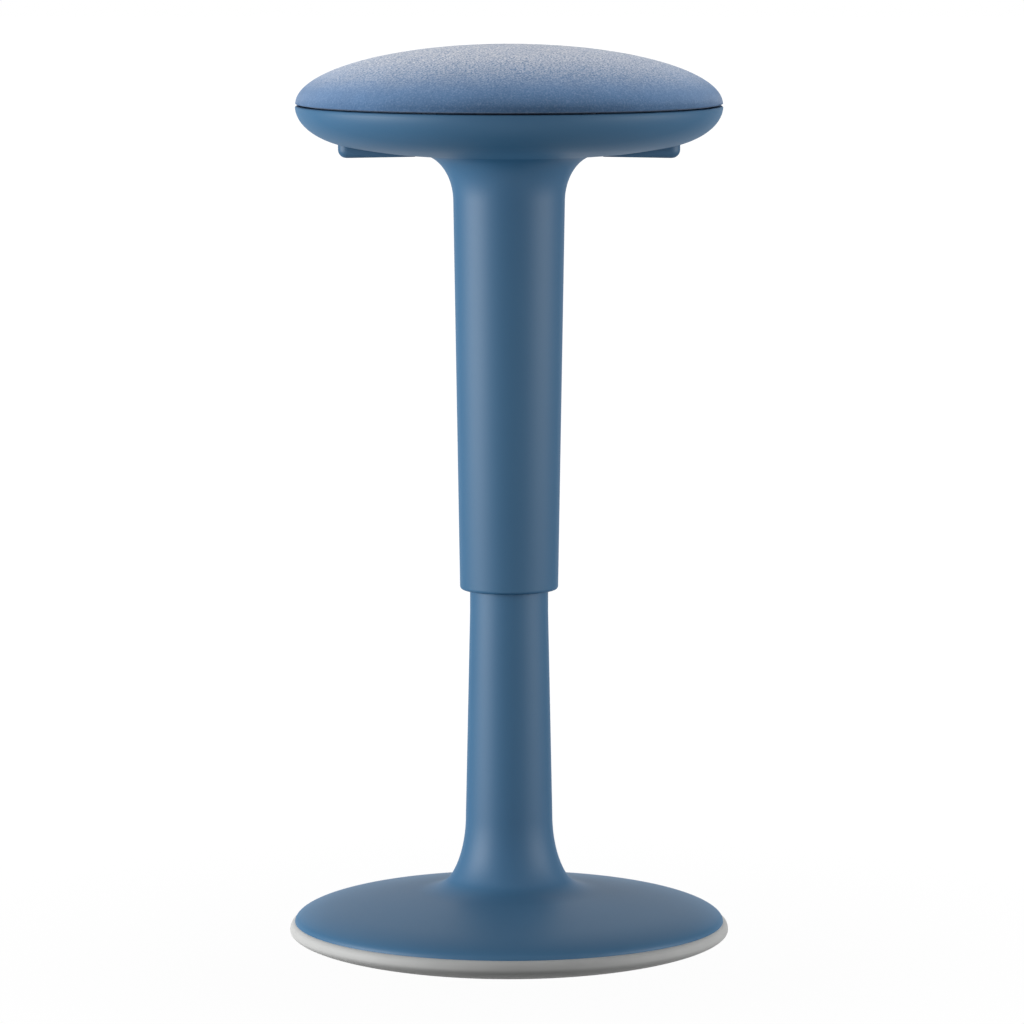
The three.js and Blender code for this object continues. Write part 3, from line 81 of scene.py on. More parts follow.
def radius_of(node):
    """Radius of a round CAD node, from its width across Y."""
    low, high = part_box(node)
    return (high.y - low.y) / 2


def length(default, description):
    return bpy.props.FloatProperty(
        name=description[0], description=description[1], default=default, unit="LENGTH", precision=5
    )


def colour(hex_colour, name, description):
    return bpy.props.FloatVectorProperty(
        name=name, description=description, subtype="COLOR", size=3, min=0, max=1, default=linear(hex_colour)
    )


class StoolSizes(bpy.types.PropertyGroup):
    """Sizes of the visible pieces. Those that the frame holds take their defaults from it."""

    round_steps: bpy.props.IntProperty(
        name="Round steps", description="Facets round the largest mouldings", default=160, min=32, max=256
    )
    clearance: length(0.3 * MM, ("Clearance", "Gap between pieces that rest on each other"))

    cushion_radius: length(radius_of("seat_cover"), ("Cushion radius", "Widest line of the cushion"))
    cushion_top: length(top_of("seat_cover"), ("Cushion top", "Height of the crown's middle"))
    cushion_edge: length(
        low_of("seat_cover") + 2.2 * MM, ("Cushion edge", "Height at which the cushion's cloth turns under")
    )
    cushion_middle: length(
        low_of("seat_cover") + 1 * MM, ("Cushion middle", "Height of the middle of the crown's ellipse")
    )
    cushion_swell: length(2 * MM, ("Cushion swell", "How far the filling pushes the crown out"))
    cushion_hem: length(1 * MM, ("Cushion hem", "Rounding of the cushion's lower edge over the dark groove"))
    cushion_skirt: length(10 * MM, ("Cushion skirt", "Cloth below the widest line while the pad is filled"))
    board_radius: length(radius_of("seat_board"), ("Board radius", "Edge of the plywood under the cushion"))
    voxel: length(4 * MM, ("Cloth voxel", "Mesh size of the cushion while it is filled"))

    shell_radius: length(radius_of("seat_shell"), ("Shell radius", "Rim of the seat shell"))
    shell_rim: length(top_of("seat_shell"), ("Shell rim", "Height of the seat shell's rim"))
    shell_depth: length(35.6 * MM, ("Shell depth", "Height of the shell's curved side"))
    shell_curve: length(63 * MM, ("Shell curve", "Width of the shell's curved side"))
    shell_wall: length(3 * MM, ("Shell wall", "Wall of the seat shell"))
    shell_round: length(1.5 * MM, ("Shell rim round", "Rounding of the shell's rim"))
    shell_mouth: length(46 * MM, ("Shell mouth", "Hole in the shell for the lift"))

    flange_radius: length(radius_of("upper_sleeve"), ("Flange radius", "Edge of the sleeve's flange"))
    flange_top: length(top_of("upper_sleeve"), ("Flange top", "Top of the sleeve's flange"))
    flange_edge: length(2.4 * MM, ("Flange edge", "Thickness of the flange's edge"))
    flange_rise: length(4.5 * MM, ("Flange rise", "From the neck's throat to the flange's edge"))
    neck_radius: length(47.1 * MM, ("Neck radius", "Sleeve radius where the neck begins"))
    neck_reach: length(28.7 * MM, ("Neck reach", "Width of the neck's curve"))
    neck_rise: length(39.7 * MM, ("Neck rise", "Height of the neck's curve"))
    lip_height: length(low_of("upper_sleeve"), ("Lip height", "Lower end of the sleeve"))
    lip_radius: length(41.7 * MM, ("Lip radius", "Sleeve radius at its lower end"))
    lip_round: length(3 * MM, ("Lip round", "Rounding of the sleeve's lower edge"))
    sleeve_wall: length(3.3 * MM, ("Sleeve wall", "Wall of the sleeve"))

    window_inner: length(76.5 * MM, ("Window inner end", "Inner end of the grip's window"))
    window_outer: length(146.9 * MM, ("Window outer end", "Outer end of the grip's window"))
    window_width: length(63 * MM, ("Window width", "Width of the grip's window"))
    window_round: length(10.5 * MM, ("Window corner", "Radius of the window's outer corners"))

    grip_round: length(9 * MM, ("Grip corner", "Radius of the grip's outer corners"))
    grip_wall: length(2.5 * MM, ("Grip wall", "Wall of the hollow grip"))
    grip_edge: length(1.2 * MM, ("Grip edge", "Rounding of the grip's other edges"))

    base_radius: length(radius_of("base_shell"), ("Base radius", "Rim of the base moulding"))
    base_rim: length(top_of("tread_ring"), ("Base rim", "Height of the line between base and tread"))
    rim_width: length(36.7 * MM, ("Rim round width", "Width of the rim's rounding"))
    rim_rise: length(5.6 * MM, ("Rim round height", "How straight the rim's rounding starts upwards"))
    dome_sphere: length(822 * MM, ("Dome sphere", "Radius of the dome's curve"))
    dome_rise: length(9.0 * MM, ("Dome rise", "Height of the dome's curve over the rim, at its radius"))
    base_wall: length(3 * MM, ("Base wall", "Wall of the base moulding"))
    flare_rise: length(64.7 * MM, ("Flare rise", "Height of the column's flare over the dome"))
    flare_reach: length(30.5 * MM, ("Flare reach", "Width of the column's flare"))
    flare_spread: length(12 * MM, ("Flare spread", "How much farther out the flare's foot fades into the dome"))
    foot_radius: length(36.9 * MM, ("Foot radius", "Column radius at the top of the flare"))
    column_radius: length(33.2 * MM, ("Column radius", "Column radius above its taper"))
    taper_drop: length(18.8 * MM, ("Taper drop", "From the sleeve's lower end down to the column's taper"))
    column_top: length(top_of("base_shell"), ("Column top", "Upper end of the column"))

    sole_sphere: length(774 * MM, ("Sole sphere", "Radius that the stool rocks on"))
    sole_flat: length(40 * MM, ("Sole flat", "Radius of the sole's flat middle"))
    tread_width: length(35.5 * MM, ("Tread width", "From the base's rim in to the tread's inner edge"))
    tread_sole: length(6 * MM, ("Tread sole width", "Sole of the tread, before it turns up into the edge"))
    tread_thickness: length(4 * MM, ("Tread thickness", "Rubber over the cover"))
    tread_drop: length(7 * MM, ("Tread drop", "From the base's rim down to the tread's widest line"))
    tread_lip: length(3.4 * MM, ("Tread lip", "Width of the tread's upper face"))
    pad_radius: length(radius_of("grip_pad"), ("Pad radius", "Grip pad in the middle of the sole"))
    pad_top: length(top_of("grip_pad"), ("Pad thickness", "Top of the grip pad"))
    pad_groove_width: length(3 * MM, ("Groove width", "Width of a pad groove"))
    pad_groove_depth: length(1.5 * MM, ("Groove depth", "Depth of a pad groove"))
    pad_groove_pitch: length(13 * MM, ("Groove pitch", "Radius step from groove to groove"))
    cover_wall: length(3.4 * MM, ("Cover wall", "Wall of the bottom cover"))
    screw_circle: length(132.9 * MM, ("Screw circle", "Radius on which the cover screws stand"))
    boss_height: length(3.4 * MM, ("Boss height", "Bite of a cover screw's boss over its seat"))
    screw_head: length(4.4 * MM, ("Screw head", "Head radius of a cover screw"))
    screw_shank: length(2 * MM, ("Screw shank", "Shank radius of a cover screw"))
    screw_count: bpy.props.IntProperty(
        name="Cover screws", description="Screws round the bottom cover", default=5, min=3, max=12
    )


class StoolColours(bpy.types.PropertyGroup):
    """Colours of the finishes that show."""

    moulding: colour("#396d95", "Moulding", "Blue of the moulded shells")
    moulding_flow: colour("#3e739b", "Moulding flow", "Paler blue that moulding leaves in broad drifts")
    felt: colour("#5d82ad", "Felt", "Main colour of the seat's cloth")
    felt_light: colour("#7f9cc2", "Felt light flecks", "Pale fibres in the cloth")
    felt_dark: colour("#476c9a", "Felt dark flecks", "Dark fibres in the cloth")
    # Pale tone that the felt's colour is mixed towards at low angles and up the crown: painted sheen.
    felt_painted_sheen: colour("#e6e6eb", "Felt nap", "Loose fibre ends that stand out from the cloth")
    tread: colour("#cfd0cf", "Tread", "Grey of the rubber sole")


class StoolView(bpy.types.PropertyGroup):
    """The photograph's camera."""

    distance: length(4.754, ("Distance", "From the stool's axis to the camera"))
    height: length(0.932, ("Height", "Height of the camera"))
    sideways: length(2.45 * MM, ("Sideways", "How far the camera stands right of the axis"))
    pitch: bpy.props.FloatProperty(
        name="Pitch", description="How far the camera looks down", default=math.radians(6.545), subtype="ANGLE"
    )
    lens: bpy.props.FloatProperty(name="Lens", description="Focal length in mm", default=198.3, min=20)


# Outlines: lists of [radius, height] points in metres


def arc(centre, radii, start, end, steps):
    """Points on an ellipse's arc, from one angle to another, both in quarter turns."""
    angles = [math.pi / 2 * (start + (end - start) * i / steps) for i in range(steps + 1)]
    return [(centre[0] + radii[0] * math.cos(a), centre[1] + radii[1] * math.sin(a)) for a in angles]


def bend(*controls, steps):
    """Points on a curve that leaves the first control towards the second and arrives at the last."""
    points = []
    for i in range(steps + 1):
        t = i / steps
        line = [Vector(control) for control in controls]
        while len(line) > 1:
            line = [a.lerp(b, t) for a, b in zip(line, line[1:])]
        points.append(tuple(line[0]))
    return points


def sole_sag(sizes, radius):
    return sizes.sole_sphere - math.sqrt(sizes.sole_sphere**2 - radius**2)


def sole_height(sizes, radius):
    """Height of the sole's underside at a radius."""

    return max(0, sole_sag(sizes, radius) - sole_sag(sizes, sizes.sole_flat))


def sole_radius(sizes, height):
    """Radius at which the sole's underside has a height."""
    sag = height + sole_sag(sizes, sizes.sole_flat)
    return math.sqrt(sizes.sole_sphere**2 - (sizes.sole_sphere - sag) ** 2)


def sole_line(sizes, start, end, steps, lift=0):
    radii = [start + (end - start) * i / steps for i in range(steps + 1)]
    return [(r, sole_height(sizes, r) + lift) for r in radii]


def dome_height(sizes, radius):
    rim = math.sqrt(sizes.dome_sphere**2 - sizes.base_radius**2)
    return sizes.base_rim + sizes.dome_rise - rim + math.sqrt(sizes.dome_sphere**2 - radius**2)


def seat_side(sizes, start, end, steps):
    """Points on the elliptical side of the seat shell, between two angles in quarter turns."""
    centre = (sizes.shell_radius - sizes.shell_curve, sizes.shell_rim)
    return arc(centre, (sizes.shell_curve, sizes.shell_depth), start, end, steps)


def underside(sizes, start, end, steps):
    """Points between two radii on the one smooth curve from the neck's throat to the shell's side."""
    throat = Vector((sizes.neck_radius + sizes.neck_reach, neck_height(sizes) + sizes.neck_rise))
    meet, beyond = [Vector(p) for p in seat_side(sizes, SIDE_START, SIDE_START + 0.01, 1)]
    slope = (beyond.y - meet.y) / (beyond.x - meet.x)
    corner = meet.x - (meet.y - throat.y) / slope
    lead, spread = 2 * (corner - throat.x), throat.x - 2 * corner + meet.x
    points = []
    for i in range(steps + 1):
        radius = start + (end - start) * i / steps
        t = (math.sqrt(lead**2 + 4 * spread * (radius - throat.x)) - lead) / (2 * spread)
        points.append((radius, throat.y + (meet.y - throat.y) * t**2))
    return points


def neck_height(sizes):
    """Height at which the sleeve's neck begins."""
    return sizes.flange_top - sizes.flange_edge - sizes.flange_rise - sizes.neck_rise


# Modelling helpers


def deselect_all():
    if bpy.context.object and bpy.context.object.mode != "OBJECT":
        bpy.ops.object.mode_set(mode="OBJECT")
    bpy.ops.object.select_all(action="DESELECT")


def make_active(piece):
    deselect_all()
    piece.select_set(True)
    bpy.context.view_layer.objects.active = piece


def settle(piece):
    """Moves a piece's place into its mesh, so that its object sits at the origin."""
    make_active(piece)
    bpy.ops.object.transform_apply(location=True, rotation=True, scale=True)
    piece.data.name = piece.name


def turn_outline(name, outline, steps, closed=True):
    """Extrudes a point along the outline and spins the line round the stool's axis."""
    deselect_all()
    first = outline[0]
    bpy.ops.mesh.primitive_plane_add(size=MM, location=(first[0], 0, first[1]), enter_editmode=True)
    bpy.ops.mesh.select_mode(type="VERT")
    bpy.ops.mesh.merge(type="CENTER")
    route = outline[1:] + ([first] if closed else [])
    here = first
    for there in route:
        step = (there[0] - here[0], 0, there[1] - here[1])
        bpy.ops.mesh.extrude_region_move(TRANSFORM_OT_translate={"value": step})
        here = there
    bpy.ops.mesh.select_all(action="SELECT")
    bpy.ops.mesh.remove_doubles(threshold=0.01 * MM)
    bpy.ops.mesh.spin(steps=steps, angle=2 * math.pi, center=(0, 0, 0), axis=(0, 0, 1))
    bpy.ops.mesh.select_all(action="SELECT")
    bpy.ops.mesh.remove_doubles(threshold=0.01 * MM)
    bpy.ops.mesh.dissolve_degenerate(threshold=0.001 * MM)
    bpy.ops.mesh.normals_make_consistent(inside=False)
    bpy.ops.object.mode_set(mode="OBJECT")
    piece = bpy.context.object
    piece.name = name
    settle(piece)
    return piece


def cut(piece, cutter, operation="DIFFERENCE"):
    """Cuts a piece with a cutter, which is then removed."""
    make_active(piece)
    boolean = piece.modifiers.new("cut", "BOOLEAN")
    boolean.operation = operation
    boolean.solver = "EXACT"
    boolean.object = cutter
    bpy.ops.object.modifier_apply(modifier=boolean.name)
    bpy.data.objects.remove(cutter)


def round_edges(piece, width, segments=3, angle=35, wanted=lambda a, b: True):
    """Rounds the sharp edges of a piece that a test of their two ends accepts."""
    make_active(piece)
    bpy.ops.object.mode_set(mode="EDIT")
    bpy.ops.mesh.select_mode(type="EDGE")
    bpy.ops.mesh.select_all(action="DESELECT")
    mesh = bmesh.from_edit_mesh(piece.data)
    for edge in mesh.edges:
        sharp = edge.is_manifold and edge.calc_face_angle(0) > math.radians(angle)
        edge.select = sharp and wanted(*[v.co for v in edge.verts])
    bmesh.update_edit_mesh(piece.data)
    bpy.ops.mesh.bevel(offset=width, segments=segments, clamp_overlap=True)
    bpy.ops.object.mode_set(mode="OBJECT")


def smooth(piece, angle=32):
    make_active(piece)
    bpy.ops.object.shade_smooth_by_angle(angle=math.radians(angle))


def select_faces(piece, wanted):
    """In edit mode, selects the faces that a test of centre and normal accepts."""
    bpy.ops.mesh.select_mode(type="FACE")
    bpy.ops.mesh.select_all(action="DESELECT")
    mesh = bmesh.from_edit_mesh(piece.data)
    for face in mesh.faces:
        face.select = wanted(piece.matrix_world @ face.calc_center_median(), face.normal)
    bmesh.update_edit_mesh(piece.data)


def select_edges(piece, wanted):
    """In edit mode, selects the edges that a test of their two ends accepts."""
    bpy.ops.mesh.select_mode(type="EDGE")
    bpy.ops.mesh.select_all(action="DESELECT")
    mesh = bmesh.from_edit_mesh(piece.data)
    for edge in mesh.edges:
        ends = [piece.matrix_world @ v.co for v in edge.verts]
        edge.select = wanted(*ends)
    bmesh.update_edit_mesh(piece.data)


def copy_turned(piece, name, angle):
    """A copy with its own mesh, turned round the stool's axis."""
    twin = piece.copy()
    twin.data = piece.data.copy()
    twin.name = name
    bpy.context.scene.collection.objects.link(twin)
    twin.data.transform(Matrix.Rotation(angle, 4, AXIS))
    return twin


def finish_piece(piece, material, body, slot, *nodes):
    """Gives a piece its finish, its body and the CAD nodes that it stands for."""
    piece.data.materials.clear()
    piece.data.materials.append(material)
    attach(piece, body)
    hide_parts(*nodes)


# Materials


def add(tree, kind, sockets, **settings):
    """Adds a node, sets what it is and fills its sockets with values or with other nodes' outputs."""
    made = tree.nodes.new(kind)
    for name, value in settings.items():
        setattr(made, name, value)
    for name, value in sockets.items():
        if isinstance(value, bpy.types.NodeSocket):
            tree.links.new(value, made.inputs[name])
        else:
            made.inputs[name].default_value = value
    return made


def new_material(name):
    """A material with a shader, its output and the piece's own coordinates."""
    material = bpy.data.materials.get(name)
    if material:
        return material, None, None, None
    material = bpy.data.materials.new(name)
    material.use_nodes = True
    tree = material.node_tree
    shader = tree.nodes["Principled BSDF"]
    place = add(tree, "ShaderNodeTexCoord", {}).outputs["Object"]
    return material, tree, shader, place


def rgba(value):
    return (*value, 1)


def moulded_polypropylene(colours, name="moulded_polypropylene", share=1.0):
    """Injection-moulded polypropylene from a lightly spark-eroded tool: a satin face whose
    highlights are broad and soft, with faint drifts of colour where the melt has flowed. A
    share below 1 darkens the same blue: painted shade, which the grips take for the shell's shadow."""
    material, tree, shader, place = new_material(name)
    if tree is None:
        return material
    grain_mm = 0.7  # drawn coarser than the real 0.2 mm, so that it shows
    drift_mm = 90
    grain = add(tree, "ShaderNodeTexNoise", {"Vector": place, "Scale": 1 / (grain_mm * MM), "Detail": 3})
    drift = add(tree, "ShaderNodeTexNoise", {"Vector": place, "Scale": 1 / (drift_mm * MM), "Detail": 2})
    flow = add(
        tree,
        "ShaderNodeMix",
        {
            "Factor": drift.outputs["Fac"],
            "A": rgba([share * c for c in colours.moulding]),
            "B": rgba([share * c for c in colours.moulding_flow]),
        },
        data_type="RGBA",
    )
    gloss = add(
        tree,
        "ShaderNodeMapRange",
        {"Value": grain.outputs["Fac"], "From Min": 0.3, "From Max": 0.7, "To Min": 0.5, "To Max": 0.56},
    )
    relief = add(
        tree, "ShaderNodeBump", {"Height": grain.outputs["Fac"], "Strength": 0.10, "Distance": 0.05 * MM}
    )
    # The gloss fades at low angles, where the fine texture shades itself, except on the faces that
    # look up. Those are also mixed a little towards pale grey: a painted reflection of the pale surroundings.
    facing = add(tree, "ShaderNodeNewGeometry", {})
    upward = add(tree, "ShaderNodeSeparateXYZ", {"Vector": facing.outputs["Normal"]})
    lean = add(tree, "ShaderNodeLayerWeight", {"Blend": 0.5})
    shine = add(
        tree,
        "ShaderNodeMapRange",
        {"Value": lean.outputs["Facing"], "From Min": 0.1, "From Max": 0.6, "To Min": 0.68, "To Max": 0.2},
    )
    level = add(
        tree,
        "ShaderNodeMapRange",
        {
            "Value": upward.outputs["Z"],
            "From Min": 0.7,
            "From Max": 0.98,
            "To Min": shine.outputs["Result"],
            "To Max": 0.4,
        },
    )
    upward_painted_sheen = add(
        tree,
        "ShaderNodeMapRange",
        {"Value": upward.outputs["Z"], "From Min": 0.7, "From Max": 0.98, "To Min": 0, "To Max": 0.045},
    )
    # Mixes the faces that look up towards pale grey, up to 4.5 %: painted sheen.
    with_upward_painted_sheen = add(
        tree,
        "ShaderNodeMix",
        {"Factor": upward_painted_sheen.outputs["Result"], "A": flow.outputs["Result"], "B": rgba(linear("#c9ccd0"))},
        data_type="RGBA",
    )
    tree.links.new(with_upward_painted_sheen.outputs["Result"], shader.inputs["Base Color"])
    tree.links.new(gloss.outputs["Result"], shader.inputs["Roughness"])
    tree.links.new(relief.outputs["Normal"], shader.inputs["Normal"])
    tree.links.new(level.outputs["Result"], shader.inputs["Specular IOR Level"])
    shader.inputs["IOR"].default_value = 1.49
    return material


def felted_wool(colours):
    """Felted wool cloth: pale and dark fibres lie in small flecks on a mid tone, the face is matt,
    and a nap of loose fibre ends has a faint sheen. Where the cloth is seen at a low angle, and up the
    crown, its colour is also mixed towards a pale tone: painted sheen."""
    material, tree, shader, place = new_material("felted_wool")
    if tree is None:
        return material
    fleck_mm = 1.5  # clumps of fibres; a fibre itself is 0.03 mm and too fine to show
    fibre_mm = 0.8
    cloud_mm = 22
    crown_foot = low_of("seat_cover") + 14 * MM
    fleck = add(tree, "ShaderNodeTexNoise", {"Vector": place, "Scale": 1 / (fleck_mm * MM), "Detail": 4})
    fibre = add(tree, "ShaderNodeTexNoise", {"Vector": place, "Scale": 1 / (fibre_mm * MM), "Detail": 2})
    cloud = add(tree, "ShaderNodeTexNoise", {"Vector": place, "Scale": 1 / (cloud_mm * MM), "Detail": 3})
    light = add(
        tree,
        "ShaderNodeMapRange",
        {"Value": fleck.outputs["Fac"], "From Min": 0.52, "From Max": 0.68, "To Min": 0, "To Max": 0.6},
    )
    dark = add(
        tree,
        "ShaderNodeMapRange",
        {"Value": fleck.outputs["Fac"], "From Min": 0.46, "From Max": 0.32, "To Min": 0, "To Max": 0.5},
    )
    pale = add(
        tree,
        "ShaderNodeMix",
        {"Factor": light.outputs["Result"], "A": rgba(colours.felt), "B": rgba(colours.felt_light)},
        data_type="RGBA",
    )
    mottled = add(
        tree,
        "ShaderNodeMix",
        {"Factor": dark.outputs["Result"], "A": pale.outputs["Result"], "B": rgba(colours.felt_dark)},
        data_type="RGBA",
    )
    shift = add(
        tree,
        "ShaderNodeMapRange",
        {"Value": cloud.outputs["Fac"], "From Min": 0.3, "From Max": 0.7, "To Min": 0.95, "To Max": 1.04},
    )
    tone = add(
        tree, "ShaderNodeHueSaturation", {"Color": mottled.outputs["Result"], "Value": shift.outputs["Result"]}
    )
    # Painted sheen: more of the pale tone at low angles and up the crown, where light from above
    # falls, in clumps, and none on the low edge.
    height = add(tree, "ShaderNodeSeparateXYZ", {"Vector": place})
    crown = add(
        tree,
        "ShaderNodeMapRange",
        {"Value": height.outputs["Z"], "From Min": crown_foot, "From Max": crown_foot + 35 * MM},
    )
    lean = add(tree, "ShaderNodeLayerWeight", {"Blend": 0.5})
    sheen = add(
        tree,
        "ShaderNodeMapRange",
        {"Value": lean.outputs["Facing"], "From Min": 0.25, "From Max": 0.8, "To Min": 0, "To Max": 0.65},
    )
    clump = add(
        tree,
        "ShaderNodeMapRange",
        {"Value": fleck.outputs["Fac"], "From Min": 0.38, "From Max": 0.62, "To Min": 0, "To Max": 2},
    )
    clumps = add(
        tree, "ShaderNodeMath", {0: clump.outputs["Result"], 1: crown.outputs["Result"]}, operation="MULTIPLY"
    )
    nap = add(
        tree,
        "ShaderNodeMath",
        {0: sheen.outputs["Result"], 1: clumps.outputs[0]},
        operation="MULTIPLY",
        use_clamp=True,
    )
    # Mixes the cloth's colour towards the pale tone by that share: painted sheen.
    face = add(
        tree,
        "ShaderNodeMix",
        {"Factor": nap.outputs[0], "A": tone.outputs["Color"], "B": rgba(colours.felt_painted_sheen)},
        data_type="RGBA",
    )
    fuzz = add(
        tree, "ShaderNodeBump", {"Height": fibre.outputs["Fac"], "Strength": 0.35, "Distance": 0.25 * MM}
    )
    relief = add(
        tree,
        "ShaderNodeBump",
        {
            "Height": fleck.outputs["Fac"],
            "Strength": 0.3,
            "Distance": 0.5 * MM,
            "Normal": fuzz.outputs["Normal"],
        },
    )
    tree.links.new(face.outputs["Result"], shader.inputs["Base Color"])
    tree.links.new(relief.outputs["Normal"], shader.inputs["Normal"])
    shader.inputs["Roughness"].default_value = 0.95
    shader.inputs["Specular IOR Level"].default_value = 0.15
    shader.inputs["Sheen Weight"].default_value = 0.3
    shader.inputs["Sheen Roughness"].default_value = 0.5
    return material


def moulded_rubber(name, tone, roughness=0.62):
    """Moulded thermoplastic rubber: an even matt face with a slight bloom and a fine tool grain."""
    material, tree, shader, place = new_material(name)
    if tree is None:
        return material
    grain_mm = 0.9
    bloom_mm = 35
    grain = add(tree, "ShaderNodeTexNoise", {"Vector": place, "Scale": 1 / (grain_mm * MM), "Detail": 2})
    bloom = add(tree, "ShaderNodeTexNoise", {"Vector": place, "Scale": 1 / (bloom_mm * MM), "Detail": 3})
    shift = add(
        tree,
        "ShaderNodeMapRange",
        {"Value": bloom.outputs["Fac"], "From Min": 0.3, "From Max": 0.7, "To Min": 0.96, "To Max": 1.03},
    )
    shade = add(tree, "ShaderNodeHueSaturation", {"Color": rgba(tone), "Value": shift.outputs["Result"]})
    relief = add(
        tree, "ShaderNodeBump", {"Height": grain.outputs["Fac"], "Strength": 0.15, "Distance": 0.08 * MM}
    )
    tree.links.new(shade.outputs["Color"], shader.inputs["Base Color"])
    tree.links.new(relief.outputs["Normal"], shader.inputs["Normal"])
    shader.inputs["Roughness"].default_value = roughness
    return material


def grained(name, tone, speckle_tone, grain_mm, relief_mm, roughness, metallic=0.0):
    """A plain engineering finish: one tone broken by a finer one, with a relief of the same grain.
    Cast iron is coarse and matt, powder coat has orange peel, ground steel and zinc are fine."""
    material, tree, shader, place = new_material(name)
    if tree is None:
        return material
    grain = add(tree, "ShaderNodeTexNoise", {"Vector": place, "Scale": 1 / (grain_mm * MM), "Detail": 4})
    spread = add(
        tree,
        "ShaderNodeMapRange",
        {"Value": grain.outputs["Fac"], "From Min": 0.35, "From Max": 0.65},
    )
    tones = add(
        tree,
        "ShaderNodeMix",
        {
            "Factor": spread.outputs["Result"],
            "A": rgba(linear(tone)),
            "B": rgba(linear(speckle_tone)),
        },
        data_type="RGBA",
    )
    relief = add(
        tree, "ShaderNodeBump", {"Height": grain.outputs["Fac"], "Strength": 0.3, "Distance": relief_mm * MM}
    )
    tree.links.new(tones.outputs["Result"], shader.inputs["Base Color"])
    tree.links.new(relief.outputs["Normal"], shader.inputs["Normal"])
    shader.inputs["Roughness"].default_value = roughness
    shader.inputs["Metallic"].default_value = metallic
    return material


def birch_plywood():
    """Raw birch plywood: straight pale grain on the faces and thin dark glue lines at the edge."""
    material, tree, shader, place = new_material("birch_plywood")
    if tree is None:
        return material
    ply_mm = 1.4
    grain_mm = 2.5
    stretched = add(tree, "ShaderNodeMapping", {"Vector": place, "Scale": (1, 0.06, 1)})
    grain = add(
        tree,
        "ShaderNodeTexNoise",
        {"Vector": stretched.outputs["Vector"], "Scale": 1 / (grain_mm * MM), "Detail": 5},
    )
    plies = add(
        tree,
        "ShaderNodeTexWave",
        {"Vector": place, "Scale": 1 / (ply_mm * MM * 20), "Distortion": 0.4},
        bands_direction="Z",
    )
    line = add(
        tree,
        "ShaderNodeMapRange",
        {"Value": plies.outputs["Fac"], "From Min": 0.75, "From Max": 1, "To Min": 0, "To Max": 0.35},
    )
    wood = add(
        tree,
        "ShaderNodeMix",
        {"Factor": grain.outputs["Fac"], "A": rgba(linear("#d9bd8e")), "B": rgba(linear("#b98f5c"))},
        data_type="RGBA",
    )
    glued = add(
        tree,
        "ShaderNodeMix",
        {"Factor": line.outputs["Result"], "A": wood.outputs["Result"], "B": rgba(linear("#6b4a2c"))},
        data_type="RGBA",
    )
    relief = add(
        tree, "ShaderNodeBump", {"Height": grain.outputs["Fac"], "Strength": 0.2, "Distance": 0.1 * MM}
    )
    tree.links.new(glued.outputs["Result"], shader.inputs["Base Color"])
    tree.links.new(relief.outputs["Normal"], shader.inputs["Normal"])
    shader.inputs["Roughness"].default_value = 0.65
    return material


def dark_moulding():
    """Moulded ABS in dark grey, as covers out of sight are: matt and evenly grained."""
    return grained("dark_abs", "#34383c", "#3d4145", 0.8, 0.05, 0.55)


# Pieces


